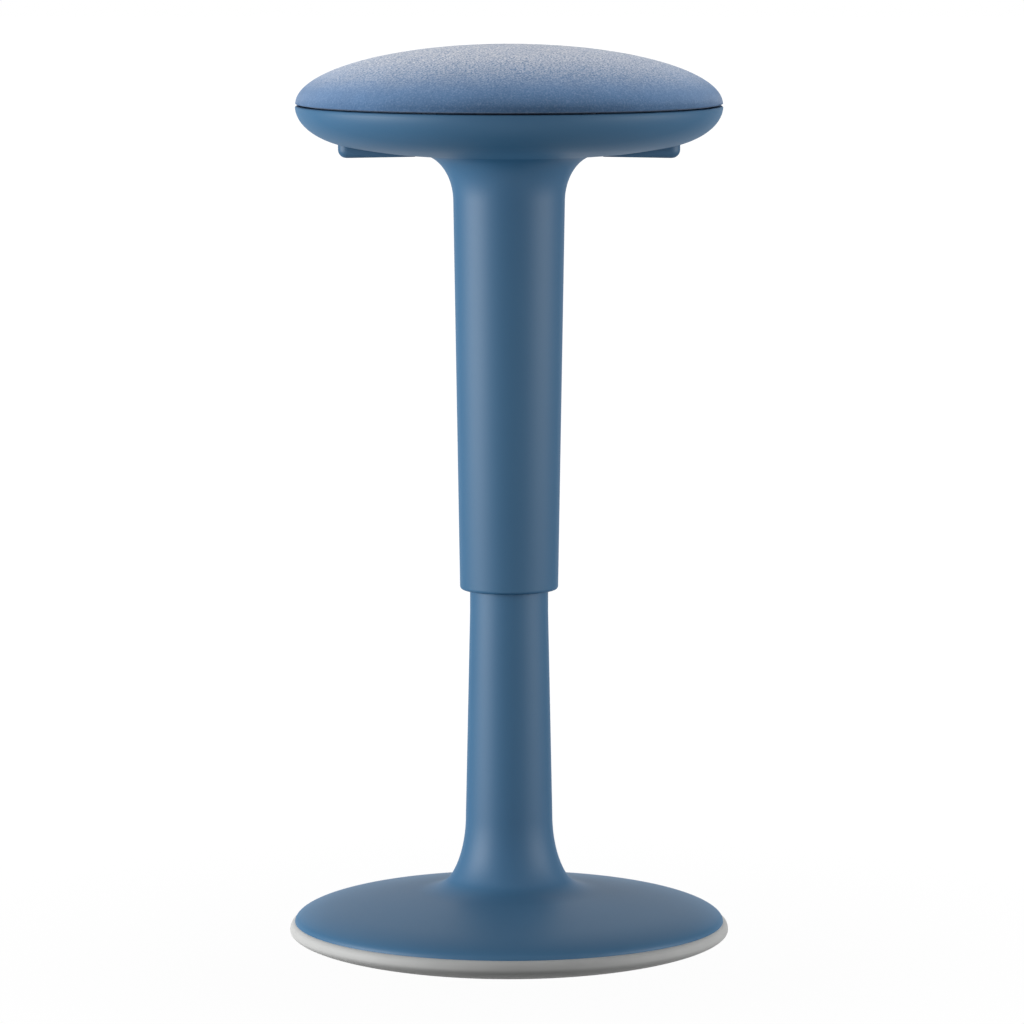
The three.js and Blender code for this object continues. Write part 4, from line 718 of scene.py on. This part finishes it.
class STOOL_OT_seat_cushion(bpy.types.Operator):
    """Models the cushion, fills it with a cloth simulation and cuts the board's place under it"""

    bl_idname = "stool.seat_cushion"
    bl_label = "Seat cushion"

    def execute(self, context):
        sizes = context.scene.stool_sizes
        cushion = self.slack_pad(sizes)
        self.fill(cushion, sizes)
        self.turn_under(cushion, sizes)
        smooth(cushion, 50)
        finish_piece(
            cushion, felted_wool(context.scene.stool_colours), "seat", "blue_felt", "seat_cover", "foam_pad"
        )
        return {"FINISHED"}

    def slack_pad(self, sizes):
        """The pad before it is filled: a crown that is low in the middle and has full shoulders, on a
        straight wall that goes below its widest line."""
        slack, power = ((sizes.cushion_swell, 0.8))
        rise = sizes.cushion_top - sizes.cushion_middle - slack
        foot = sizes.cushion_edge - sizes.cushion_skirt
        crown = [
            (sizes.cushion_radius * x**power, sizes.cushion_middle + rise * z**power)
            for x, z in [(max(0, x), max(0, z)) for x, z in arc((0, 0), (1, 1), 0, 1, 40)]
        ]
        outline = [(0, foot), (sizes.cushion_radius, foot), *crown]
        return turn_outline("seat_cushion", outline, sizes.round_steps, closed=False)

    def fill(self, cushion, sizes):
        """Pushes the cloth out by its inner pressure, no further than the finished crown, which is an
        ellipse in section."""
        make_active(cushion)
        remesh = cushion.modifiers.new("even mesh", "REMESH")
        remesh.mode = "VOXEL"
        remesh.voxel_size = sizes.voxel
        bpy.ops.object.modifier_apply(modifier=remesh.name)
        pinned = cushion.vertex_groups.new(name="pinned")
        wall = sizes.cushion_edge + 0.1 * sizes.cushion_skirt
        pinned.add([v.index for v in cushion.data.vertices if v.co.z < wall], 1, "REPLACE")
        cloth = cushion.modifiers.new("filling", "CLOTH")
        cloth.settings.use_pressure = True
        cloth.settings.uniform_pressure_force = 5
        cloth.settings.effector_weights.gravity = 0
        cloth.settings.vertex_group_mass = pinned.name
        cloth.settings.quality = 6
        cloth.collision_settings.use_self_collision = False
        for step in range(1, 7):
            bpy.context.scene.frame_set(step)
        make_active(cushion)
        bpy.ops.object.modifier_apply(modifier=cloth.name)
        bpy.context.scene.frame_set(1)
        cushion.vertex_groups.clear()
        finer = cushion.modifiers.new("finer", "SUBSURF")
        finer.levels = 1
        finer.render_levels = 1
        bpy.ops.object.modifier_apply(modifier=finer.name)
        radius = sizes.cushion_radius
        centre = Vector((0, 0, sizes.cushion_middle))
        stretch = Vector((radius, radius, sizes.cushion_top - sizes.cushion_middle))
        for vertex in cushion.data.vertices:
            out = vertex.co - centre
            if out.z < 0:
                out.z = 0
            reach = Vector(a / b for a, b in zip(out, stretch)).length
            if reach > 1:
                vertex.co -= out * (1 - 1 / reach)

    def turn_under(self, cushion, sizes):
        """Cuts the pad off at its widest line, turns the cloth under and goes round the board."""
        make_active(cushion)
        bpy.ops.object.mode_set(mode="EDIT")
        bpy.ops.mesh.select_mode(type="EDGE")
        bpy.ops.mesh.select_all(action="SELECT")
        bpy.ops.mesh.bisect(
            plane_co=(0, 0, sizes.cushion_edge), plane_no=(0, 0, 1), clear_inner=True, threshold=0.6 * MM
        )
        mesh = bmesh.from_edit_mesh(cushion.data)
        for vertex in mesh.verts:
            if vertex.is_boundary:
                vertex.co.xy = vertex.co.xy.normalized() * sizes.cushion_radius
                vertex.co.z = sizes.cushion_edge
        for edge in mesh.edges:
            edge.select = edge.is_boundary
        bmesh.update_edit_mesh(cushion.data)
        turned = sizes.cushion_hem
        under = sizes.shell_rim + sizes.clearance
        pocket = sizes.board_radius + sizes.clearance
        here = (sizes.cushion_radius, sizes.cushion_edge)
        hem = arc((here[0] - 1.5 * turned, here[1]), (1.5 * turned, turned), 0, -1, 5)
        inwards = [
            (pocket + 2 * turned, hem[-1][1]),
            (pocket + turned, under + turned / 2),
            (pocket + turned / 2, under),
            (pocket, under),
            (pocket, top_of("seat_board") + sizes.clearance),
        ]
        for there in hem[1:] + inwards:
            bpy.ops.mesh.extrude_region_move(TRANSFORM_OT_translate={"value": (0, 0, there[1] - here[1])})
            share = there[0] / here[0]
            bpy.ops.transform.resize(value=(share, share, 1), center_override=(0, 0, 0))
            here = there
        bpy.ops.mesh.edge_face_add()
        bpy.ops.mesh.select_all(action="SELECT")
        bpy.ops.mesh.normals_make_consistent(inside=False)
        bpy.ops.object.mode_set(mode="OBJECT")


class STOOL_OT_seat_shell(bpy.types.Operator):
    """Models the blue bowl under the cushion, with a window for each grip"""

    bl_idname = "stool.seat_shell"
    bl_label = "Seat shell"

    def execute(self, context):
        sizes = context.scene.stool_sizes
        wall = sizes.shell_wall
        floor = sizes.flange_top + sizes.clearance
        step = sizes.flange_radius + sizes.clearance
        turned = sizes.shell_round
        centre = (sizes.shell_radius - sizes.shell_curve, sizes.shell_rim)
        outer = seat_side(sizes, SIDE_START, 4, 28)
        straight = [p for p in outer if p[1] < sizes.shell_rim - turned]
        rim = arc((sizes.shell_radius - turned, sizes.shell_rim - turned), (turned, turned), 0, 1, 5)
        inner = arc(centre, (sizes.shell_curve - wall, sizes.shell_depth - wall), 4, SIDE_START, 20)
        outline = [
            (sizes.shell_mouth, floor),
            (step, floor),
            *underside(sizes, step, outer[0][0], 8),
            *straight[1:],
            *rim,
            *inner,
            (step + wall, floor + wall),
            (sizes.shell_mouth, floor + wall),
        ]
        shell = turn_outline("seat_shell_moulding", outline, sizes.round_steps)
        for side in (0, math.pi):
            cut(shell, window_cutter(sizes, side))
        round_edges(shell, 0.5 * MM, 2, 35, lambda a, b: in_window(sizes, a) and in_window(sizes, b))
        smooth(shell)
        finish_piece(
            shell, moulded_polypropylene(context.scene.stool_colours), "seat", "blue_plastic", "seat_shell"
        )
        return {"FINISHED"}


def window_cutter(sizes, turn):
    """A block the size of a grip's window, with its two outer corners rounded."""
    deselect_all()
    middle = (sizes.window_inner + sizes.window_outer) / 2
    height = 4 * sizes.shell_depth
    bpy.ops.mesh.primitive_cube_add(size=1, location=(middle, 0, sizes.flange_top))
    cutter = bpy.context.object
    cutter.scale = (sizes.window_outer - sizes.window_inner, sizes.window_width, height)
    settle(cutter)
    bpy.ops.object.mode_set(mode="EDIT")
    outside = sizes.window_outer - sizes.clearance
    select_edges(cutter, lambda a, b: min(a.x, b.x) > outside and abs(a.z - b.z) > height / 2)
    bpy.ops.mesh.bevel(offset=sizes.window_round, segments=8)
    bpy.ops.object.mode_set(mode="OBJECT")
    cutter.data.transform(Matrix.Rotation(turn, 4, AXIS))
    return cutter


def in_window(sizes, point):
    """Whether a point lies on the edge of a grip's window, apart from the joint of shell and sleeve."""
    near = 0.01 * MM
    beside = abs(point.y) < sizes.window_width / 2 + near and abs(point.x) > sizes.window_inner - near
    joint = abs(point.xy.length - sizes.flange_radius) < MM
    return beside and not joint and abs(point.x) < sizes.window_outer + near


class STOOL_OT_upper_sleeve(bpy.types.Operator):
    """Models the tapered sleeve with its trumpet neck and flange"""

    bl_idname = "stool.upper_sleeve"
    bl_label = "Upper sleeve"

    def execute(self, context):
        sizes = context.scene.stool_sizes
        wall = sizes.sleeve_wall
        centre = (sizes.neck_radius + sizes.neck_reach, neck_height(sizes))
        # The flange reaches the shell with a joint too fine to see.
        reach = sizes.flange_radius + sizes.clearance - 0.05 * MM
        outer = [
            *arc(
                (sizes.lip_radius - sizes.lip_round, sizes.lip_height + sizes.lip_round),
                (sizes.lip_round, sizes.lip_round),
                -1,
                0,
                6,
            ),
            *arc(centre, (sizes.neck_reach, sizes.neck_rise), 2, 1, 28),
            *underside(sizes, centre[0], reach, 14)[1:],
        ]
        inner = [
            (reach, sizes.flange_top),
            (sizes.flange_radius - wall, sizes.flange_top),
            *arc(centre, (sizes.neck_reach + wall, sizes.neck_rise + wall), 1, 2, 20),
            (sizes.lip_radius - wall, sizes.lip_height + sizes.lip_round),
            (sizes.lip_radius - wall, sizes.lip_height + sizes.lip_round / 4),
            (sizes.lip_radius - wall + sizes.lip_round / 4, sizes.lip_height),
        ]
        sleeve = turn_outline("upper_sleeve_moulding", outer + inner, sizes.round_steps)
        for side in (0, math.pi):
            cut(sleeve, window_cutter(sizes, side))
        smooth(sleeve)
        finish_piece(
            sleeve, moulded_polypropylene(context.scene.stool_colours), "seat", "blue_plastic", "upper_sleeve"
        )
        return {"FINISHED"}


class STOOL_OT_release_grips(bpy.types.Operator):
    """Models the hollow paddle of the right grip and turns a copy of it round for the left"""

    bl_idname = "stool.release_grips"
    bl_label = "Release grips"

    def execute(self, context):
        sizes = context.scene.stool_sizes
        low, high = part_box("lever_grip_right")
        arm_low, arm_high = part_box("lever_arm_right")
        screw_low, screw_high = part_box("grip_screw_right")
        slope = 1.6 * MM
        deselect_all()
        bpy.ops.mesh.primitive_cube_add(size=1, location=(low + high) / 2)
        grip = bpy.context.object
        grip.scale = high - low
        settle(grip)
        bpy.ops.object.mode_set(mode="EDIT")
        # The underside rises a little towards the stool's axis.
        bpy.ops.mesh.select_mode(type="VERT")
        bpy.ops.mesh.select_all(action="DESELECT")
        mesh = bmesh.from_edit_mesh(grip.data)
        for vertex in mesh.verts:
            vertex.select = vertex.co.x < low.x + slope and vertex.co.z < low.z + slope
        bmesh.update_edit_mesh(grip.data)
        bpy.ops.transform.translate(value=(0, 0, slope))
        # The outer end is rounded in plan and from below.
        outside = high.x - MM
        select_edges(grip, lambda a, b: min(a.x, b.x) > outside and abs(a.z - b.z) > MM)
        bpy.ops.mesh.bevel(offset=sizes.grip_round, segments=8)
        select_edges(
            grip,
            lambda a, b: max(a.z, b.z) < low.z + 2 * MM
            and min(a.x, b.x) > high.x - 1.2 * sizes.grip_round
            and abs(a.y - b.y) + abs(a.x - b.x) > 0.5 * MM,
        )
        bpy.ops.mesh.bevel(offset=sizes.grip_round * 0.8, segments=8)
        # The top is open and the inside hollow.
        select_faces(grip, lambda centre, normal: normal.z > 0.9)
        bpy.ops.mesh.inset(thickness=sizes.grip_wall, depth=0)
        hollow = high.z - low.z - 2 * sizes.grip_wall - slope
        bpy.ops.mesh.extrude_region_move(TRANSFORM_OT_translate={"value": (0, 0, -hollow)})
        bpy.ops.object.mode_set(mode="OBJECT")
        self.cut_doorway(grip, sizes, low, high, arm_low, arm_high)
        self.add_boss(grip, screw_low, screw_high, low, arm_low)
        round_edges(grip, sizes.grip_edge, 3, 40)
        smooth(grip, 40)
        grip.name = "lever_grip_right_moulding"
        left = copy_turned(grip, "lever_grip_left_moulding", math.pi)
        # The grips get the blue darkened to 0.78: painted shade for the shell's shadow over them.
        blue = moulded_polypropylene(context.scene.stool_colours, "moulded_polypropylene_grip_painted_shade", 0.78)
        finish_piece(grip, blue, "right_lever", "blue_plastic", "lever_grip_right")
        finish_piece(left, blue, "left_lever", "blue_plastic", "lever_grip_left")
        return {"FINISHED"}

    def cut_doorway(self, grip, sizes, low, high, arm_low, arm_high):
        """A notch in the inner wall, through which the arm reaches into the grip."""
        deselect_all()
        width = arm_high.y - arm_low.y + 3 * MM
        bottom = arm_low.z - 2.2 * MM
        bpy.ops.mesh.primitive_cube_add(size=1, location=(low.x, 0, (bottom + high.z + MM) / 2))
        notch = bpy.context.object
        notch.scale = (4 * sizes.grip_wall, width, high.z + MM - bottom)
        settle(notch)
        cut(grip, notch)

    def add_boss(self, grip, screw_low, screw_high, low, arm_low):
        """A round boss under the arm, which the grip's screw bites into."""
        deselect_all()
        centre = (screw_low + screw_high) / 2
        top = arm_low.z - 0.3 * MM
        bottom = low.z + 2 * MM
        bpy.ops.mesh.primitive_cylinder_add(
            vertices=32, radius=6 * MM, depth=top - bottom, location=(centre.x, centre.y, (top + bottom) / 2)
        )
        cut(grip, bpy.context.object, "UNION")
        deselect_all()
        bore = 1.8 * MM
        bpy.ops.mesh.primitive_cylinder_add(
            vertices=24, radius=bore, depth=20 * MM, location=(centre.x, centre.y, screw_low.z - bore + 10 * MM)
        )
        cut(grip, bpy.context.object)


class STOOL_OT_base_moulding(bpy.types.Operator):
    """Models the domed foot and the lower column, which are one moulding"""

    bl_idname = "stool.base_moulding"
    bl_label = "Base moulding"

    def execute(self, context):
        sizes = context.scene.stool_sizes
        outline = self.line(sizes, 0, 24) + list(reversed(self.line(sizes, sizes.base_wall, 16)))
        base = turn_outline("base_moulding", outline, sizes.round_steps)
        smooth(base)
        finish_piece(
            base, moulded_polypropylene(context.scene.stool_colours), "base", "blue_plastic", "base_shell"
        )
        return {"FINISHED"}

    def line(self, sizes, wall, steps):
        """The moulding's face from its rim to the column's top, moved in by the wall."""
        rim = sizes.base_rim + 0.05 * MM
        start = sizes.base_radius - sizes.rim_width
        foot = sizes.foot_radius + sizes.flare_reach
        edge = sizes.base_radius - wall
        skirt = foot + sizes.flare_spread
        dome = [start + (skirt - start) * i / steps for i in range(1, steps + 1)]
        flare = arc(
            (foot, dome_height(sizes, foot) + sizes.flare_rise),
            (sizes.flare_reach + wall, sizes.flare_rise + wall),
            2.6,
            2,
            steps,
        )
        # The flare's foot is a curve between the dome's line and the arc's, so that it fades out.
        (x, z), (next_x, next_z) = flare[:2]
        steep = (next_z - z) / (next_x - x)
        gentle = (dome_height(sizes, skirt + MM) - dome_height(sizes, skirt)) / MM
        meet = (skirt, dome_height(sizes, skirt) - wall)
        corner = (z - meet[1] + gentle * skirt - steep * x) / (gentle - steep)
        # The rim's round arrives along the dome, so that no line shows where they meet.
        lead = sizes.rim_width * 2 / 3
        before = dome_height(sizes, start) + (
            (dome_height(sizes, start + MM) - dome_height(sizes, start)) * lead / MM
        )
        return [
            *bend(
                (edge, rim),
                (edge, rim + sizes.rim_rise - wall),
                (start + lead - wall, before - wall),
                (start, dome_height(sizes, start) - wall),
                steps=steps,
            ),
            *[(r, dome_height(sizes, r) - wall) for r in dome],
            *bend(meet, (corner, meet[1] + gentle * (corner - skirt)), flare[0], steps=12)[1:],
            *flare[1:],
            (sizes.column_radius - wall, sizes.lip_height - sizes.taper_drop),
            (sizes.column_radius - wall, sizes.column_top),
        ]


class STOOL_OT_tread_ring(bpy.types.Operator):
    """Models the grey rubber ring round the edge of the base"""

    bl_idname = "stool.tread_ring"
    bl_label = "Tread ring"

    def execute(self, context):
        sizes = context.scene.stool_sizes
        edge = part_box("tread_ring")[1].y
        start = sizes.base_radius - sizes.tread_width
        turn = start + sizes.tread_sole
        slope = 1.05 * turn / sizes.sole_sphere
        widest = sizes.base_rim - sizes.tread_drop
        inner_wall = sizes.base_radius - sizes.tread_lip
        bulge = edge - sizes.base_radius
        over = sizes.tread_thickness
        corner = inner_wall - over
        outline = [
            *sole_line(sizes, start, turn, 4),
            *bend(
                (turn, sole_height(sizes, turn)),
                (edge, sole_height(sizes, turn) + (edge - turn) * slope),
                (edge, widest),
                steps=22,
            )[1:],
            *bend(
                (edge, widest),
                (edge, sizes.base_rim - bulge / 3),
                (sizes.base_radius, sizes.base_rim),
                steps=8,
            )[1:],
            (inner_wall, sizes.base_rim),
            (inner_wall, sole_height(sizes, inner_wall) + 2 * over),
            (corner, sole_height(sizes, corner) + over),
            *sole_line(sizes, corner, start, 4, over)[1:],
        ]
        ring = turn_outline("tread_ring_moulding", outline, sizes.round_steps)
        smooth(ring)
        rubber = moulded_rubber("grey_tread_rubber", context.scene.stool_colours.tread)
        finish_piece(ring, rubber, "base", "grey_rubber", "tread_ring")
        return {"FINISHED"}


class STOOL_OT_grip_pad(bpy.types.Operator):
    """Models the grooved rubber pad in the middle of the sole"""

    bl_idname = "stool.grip_pad"
    bl_label = "Grip pad"

    def execute(self, context):
        sizes = context.scene.stool_sizes
        underside = [(0, 0)]
        for i in (1, 2):
            inner = i * sizes.pad_groove_pitch
            outer = inner + sizes.pad_groove_width
            deep = sizes.pad_groove_depth
            draft = sizes.pad_groove_width / 6
            underside += [(inner, 0), (inner + draft, deep), (outer - draft, deep), (outer, 0)]
        round_off = 0.6 * MM
        rim = sizes.pad_radius
        underside += sole_line(sizes, sizes.sole_flat, rim - round_off, 4)
        outline = underside + [
            (rim, sole_height(sizes, rim) + round_off),
            (rim, sizes.pad_top),
            (0, sizes.pad_top),
        ]
        pad = turn_outline("grip_pad_moulding", outline, 96, closed=False)
        smooth(pad)
        rubber = moulded_rubber("grey_tread_rubber", context.scene.stool_colours.tread)
        finish_piece(pad, rubber, "base", "grey_rubber", "grip_pad")
        return {"FINISHED"}


class STOOL_OT_bottom_cover(bpy.types.Operator):
    """Models the dished cover under the base, with a sunk seat for each screw"""

    bl_idname = "stool.bottom_cover"
    bl_label = "Bottom cover"

    def execute(self, context):
        sizes = context.scene.stool_sizes
        gap = sizes.clearance
        wall = sizes.cover_wall
        recess = sizes.pad_radius + gap
        floor = sizes.pad_top + gap
        floor_top = floor + wall
        tread_start = sizes.base_radius - sizes.tread_width - gap
        outer_wall = sizes.base_radius - sizes.tread_lip - gap
        inner_wall = outer_wall - wall
        corner = sizes.base_radius - sizes.tread_lip - sizes.tread_thickness
        over = sizes.tread_thickness + gap
        shoulder = tread_start - wall
        outline = [
            (0, floor),
            (recess, floor),
            *sole_line(sizes, recess, tread_start, 12),
            (tread_start, sole_height(sizes, tread_start) + over),
            (corner, sole_height(sizes, corner) + over),
            (outer_wall, sole_height(sizes, outer_wall) + over + sizes.tread_thickness),
            (outer_wall, sizes.base_rim),
            (inner_wall, sizes.base_rim),
            (inner_wall, sole_height(sizes, inner_wall) + over + wall),
            (tread_start, sole_height(sizes, tread_start) + over + wall),
            (shoulder, sole_height(sizes, shoulder) + wall),
            (sole_radius(sizes, floor), floor_top),
            (0, floor_top),
        ]
        cover = turn_outline("bottom_cover_moulding", outline, sizes.round_steps, closed=False)
        screw_low, screw_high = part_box("cover_screw_1")
        seat = screw_low.z + 1.9 * MM + gap
        boss_top = seat + sizes.boss_height
        for i in range(sizes.screw_count):
            angle = 2 * math.pi * i / sizes.screw_count
            self.add_post(cover, sizes, angle, 8 * MM, seat, boss_top, "UNION")
            self.add_post(cover, sizes, angle, sizes.screw_head + gap, -MM, seat, "DIFFERENCE")
            self.add_post(cover, sizes, angle, sizes.screw_shank + gap, 0, boss_top + MM, "DIFFERENCE")
        smooth(cover)
        finish_piece(cover, dark_moulding(), "base", "dark_plastic", "bottom_cover")
        return {"FINISHED"}

    def add_post(self, cover, sizes, angle, radius, bottom, top, operation):
        deselect_all()
        place = (sizes.screw_circle * math.cos(angle), sizes.screw_circle * math.sin(angle), (bottom + top) / 2)
        bpy.ops.mesh.primitive_cylinder_add(vertices=32, radius=radius, depth=top - bottom, location=place)
        cut(cover, bpy.context.object, operation)


class STOOL_OT_cover_screws(bpy.types.Operator):
    """Models one cross-recessed screw and sets copies round the cover"""

    bl_idname = "stool.cover_screws"
    bl_label = "Cover screws"

    def execute(self, context):
        sizes = context.scene.stool_sizes
        low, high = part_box("cover_screw_1")
        head = 1.9 * MM
        crown = 0.5 * MM
        pitch = 1.4 * MM
        tip = 2.5 * MM
        shank_bottom = low.z + head
        outline = [(0, low.z)]
        outline += arc((sizes.screw_head - 1.2 * MM, low.z + crown), (1.2 * MM, crown), -1, 0, 5)
        outline += [(sizes.screw_head, shank_bottom), (sizes.screw_shank, shank_bottom)]
        turns = int((high.z - tip - shank_bottom) / pitch)
        core = sizes.screw_shank - 0.5 * MM
        for i in range(turns):
            z = shank_bottom + i * pitch
            outline += [(core, z + pitch * 0.35), (core, z + pitch * 0.65), (sizes.screw_shank, z + pitch)]
        outline += [(0, high.z)]
        screw = turn_outline("cover_screw_1_detail", outline, 32, closed=False)
        for turn in (0, math.pi / 2):
            deselect_all()
            bpy.ops.mesh.primitive_cube_add(size=1, location=(0, 0, low.z))
            blade = bpy.context.object
            blade.scale = (1.05 * sizes.screw_head, 0.9 * MM, 2.6 * MM)
            blade.rotation_euler = (0, 0, turn)
            settle(blade)
            cut(screw, blade)
        screw.data.transform(Matrix.Translation((sizes.screw_circle, 0, 0)))
        smooth(screw)
        zinc = zinc_plate()
        for i in range(1, sizes.screw_count):
            angle = 2 * math.pi * i / sizes.screw_count
            name = f"cover_screw_{i + 1}"
            finish_piece(copy_turned(screw, name + "_detail", angle), zinc, "base", "zinc_steel", name)
        finish_piece(screw, zinc, "base", "zinc_steel", "cover_screw_1")
        return {"FINISHED"}


def zinc_plate():
    """Zinc-plated steel: a dull bright face with a faint cloudiness from the bath."""
    return grained("zinc_plate", "#a9adb1", "#c0c3c6", 2.2, 0.01, 0.38, 1.0)


class STOOL_OT_inner_parts(bpy.types.Operator):
    """Gives each part inside the stool, which keeps its own solid, the finish of what it is made of"""

    bl_idname = "stool.inner_parts"
    bl_label = "Inner parts"

    def execute(self, context):
        finishes = {
            "cast_iron": grained("painted_cast_iron", "#26282a", "#34373a", 1.6, 0.25, 0.8),
            "black_steel": grained("black_powder_coat", "#1b1d1f", "#25282b", 1.1, 0.05, 0.42),
            "bright_steel": grained("ground_steel", "#b9bdc1", "#d0d3d6", 0.6, 0.01, 0.22, 1.0),
            "zinc_steel": zinc_plate(),
            "white_acetal": grained("acetal", "#e3e3df", "#efefec", 1.5, 0.02, 0.35),
            "black_rubber": grained("black_rubber", "#171717", "#202020", 0.9, 0.08, 0.85),
            "foam": grained("polyurethane_foam", "#e3dcc2", "#cfc7ab", 1.2, 0.5, 0.95),
            "plywood": birch_plywood(),
            "dark_plastic": dark_moulding(),
            "blue_plastic": moulded_polypropylene(context.scene.stool_colours),
            "blue_felt": felted_wool(context.scene.stool_colours),
            "grey_rubber": moulded_rubber("grey_tread_rubber", context.scene.stool_colours.tread),
        }
        for entry in frame["record"]["subparts"]:
            part = frame["nodes"][entry["node"]]
            if part.material_slots:
                part.material_slots[0].material = finishes[entry["material_slot"]]
            else:
                part.data.materials.append(finishes[entry["material_slot"]])
        return {"FINISHED"}


class STOOL_OT_stage(bpy.types.Operator):
    """Sets the pale floor, the soft lights, the backdrop and the photograph's camera"""

    bl_idname = "stool.stage"
    bl_label = "Stage"

    def execute(self, context):
        context.scene.view_settings.view_transform = "Standard"
        self.set_floor()
        self.set_world(context.scene)
        self.set_lights()
        self.set_camera(context.scene)
        return {"FINISHED"}

    def set_floor(self):
        deselect_all()
        bpy.ops.mesh.primitive_plane_add(size=60, location=(0, 0, 0))
        floor = bpy.context.object
        floor.name = "floor"
        material = bpy.data.materials.new("pale_floor")
        material.use_nodes = True
        tree = material.node_tree
        shader = tree.nodes["Principled BSDF"]
        shader.inputs["Base Color"].default_value = rgba(linear("#6c6c6c"))
        shader.inputs["Roughness"].default_value = 0.9
        shader.inputs["Specular IOR Level"].default_value = 0.1
        # White paper: what is seen of it glows evenly, apart from the stool's faint shadow near it.
        place = add(tree, "ShaderNodeTexCoord", {}).outputs["Object"]
        away = add(tree, "ShaderNodeVectorMath", {0: place}, operation="LENGTH")
        glow = add(
            tree,
            "ShaderNodeMapRange",
            {"Value": away.outputs["Value"], "From Min": 0.25, "From Max": 1.5, "To Min": 0.94, "To Max": 1},
        )
        share = add(
            tree,
            "ShaderNodeMath",
            {0: self.seen_rays(tree), 1: glow.outputs["Result"]},
            operation="MULTIPLY",
        )
        white = add(tree, "ShaderNodeEmission", {"Color": (1, 1, 1, 1), "Strength": 1.04})
        mixed = add(
            tree,
            "ShaderNodeMixShader",
            {0: share.outputs[0], 1: shader.outputs["BSDF"], 2: white.outputs["Emission"]},
        )
        tree.links.new(mixed.outputs["Shader"], tree.nodes["Material Output"].inputs["Surface"])
        floor.data.materials.append(material)

    def seen_rays(self, tree):
        """1 for the rays by which the eye, metal and glass see a surface, and 0 for those that light it."""
        path = add(tree, "ShaderNodeLightPath", {})
        mirrored = add(
            tree,
            "ShaderNodeMath",
            {0: path.outputs["Is Glossy Ray"], 1: path.outputs["Is Transmission Ray"]},
            operation="MAXIMUM",
        )
        seen = add(
            tree,
            "ShaderNodeMath",
            {0: path.outputs["Is Camera Ray"], 1: mirrored.outputs[0]},
            operation="MAXIMUM",
        )
        return seen.outputs[0]

    def set_world(self, scene):
        world = bpy.data.worlds.new("studio")
        scene.world = world
        world.use_nodes = True
        tree = world.node_tree
        backdrop = tree.nodes["Background"]
        level = add(
            tree,
            "ShaderNodeMapRange",
            {"Value": self.seen_rays(tree), "To Min": 0.125, "To Max": 1.0},
        )
        backdrop.inputs["Color"].default_value = (1, 1, 1, 1)
        tree.links.new(level.outputs["Result"], backdrop.inputs["Strength"])

    def set_lights(self):
        self.softbox("left softbox", (-78, 2.2, 0.52), (1.7, 0.9), 43)
        self.softbox("right softbox", (80, 2.2, 0.52), (1.7, 0.9), 22)
        self.softbox("top softbox", (180, 0.3, 2.9), (0.5, 0.5), 36)

    def softbox(self, name, place, size, power):
        """A rectangular lamp that faces the stool. Its place is a number of degrees from the camera's
        side, a distance from the axis and a height."""
        lamp = bpy.data.lights.new(name, "AREA")
        lamp.shape = "RECTANGLE"
        lamp.size, lamp.size_y = size
        lamp.energy = power
        box = bpy.data.objects.new(name, lamp)
        turn, distance, height = math.radians(place[0]), place[1], place[2]
        box.location = (distance * math.sin(turn), -distance * math.cos(turn), height)
        aim = Vector((0, 0, min(height, 0.75))) - box.location
        box.rotation_euler = aim.to_track_quat("-Z", "Y").to_euler()
        box.visible_camera = False
        bpy.context.scene.collection.objects.link(box)

    def set_camera(self, scene):
        view = scene.stool_view
        lens = bpy.data.cameras.new("photo camera")
        lens.lens = view.lens
        lens.sensor_width = 36
        lens.clip_end = 100
        camera = bpy.data.objects.new("photo camera", lens)
        camera.location = (view.sideways, -view.distance, view.height)
        camera.rotation_euler = (math.pi / 2 - view.pitch, 0, 0)
        scene.collection.objects.link(camera)
        scene.camera = camera


class STOOL_PT_panel(bpy.types.Panel):
    """Lists the stool's sizes, colours and operators in the sidebar"""

    bl_label = "Wobble stool"
    bl_idname = "STOOL_PT_panel"
    bl_space_type = "VIEW_3D"
    bl_region_type = "UI"
    bl_category = "Stool"

    def draw(self, context):
        for operator in PIECES:
            self.layout.operator(operator.bl_idname)
        for group in (context.scene.stool_sizes, context.scene.stool_colours, context.scene.stool_view):
            box = self.layout.box()
            for name in group.__annotations__:
                box.prop(group, name)


PIECES = (
    STOOL_OT_inner_parts,
    STOOL_OT_bottom_cover,
    STOOL_OT_cover_screws,
    STOOL_OT_grip_pad,
    STOOL_OT_tread_ring,
    STOOL_OT_base_moulding,
    STOOL_OT_upper_sleeve,
    STOOL_OT_seat_shell,
    STOOL_OT_release_grips,
    STOOL_OT_seat_cushion,
    STOOL_OT_stage,
)
GROUPS = {"stool_sizes": StoolSizes, "stool_colours": StoolColours, "stool_view": StoolView}


def register():
    for cls in (*GROUPS.values(), *PIECES, STOOL_PT_panel):
        bpy.utils.register_class(cls)
    for name, group in GROUPS.items():
        setattr(bpy.types.Scene, name, bpy.props.PointerProperty(type=group))


def unregister():
    for name in GROUPS:
        delattr(bpy.types.Scene, name)
    for cls in reversed((*GROUPS.values(), *PIECES, STOOL_PT_panel)):
        bpy.utils.unregister_class(cls)


def main():
    register()
    bpy.ops.stool.inner_parts()
    bpy.ops.stool.bottom_cover()
    bpy.ops.stool.cover_screws()
    bpy.ops.stool.grip_pad()
    bpy.ops.stool.tread_ring()
    bpy.ops.stool.base_moulding()
    bpy.ops.stool.upper_sleeve()
    bpy.ops.stool.seat_shell()
    bpy.ops.stool.release_grips()
    bpy.ops.stool.seat_cushion()
    bpy.ops.stool.stage()


if __name__ == "__main__":
    main()
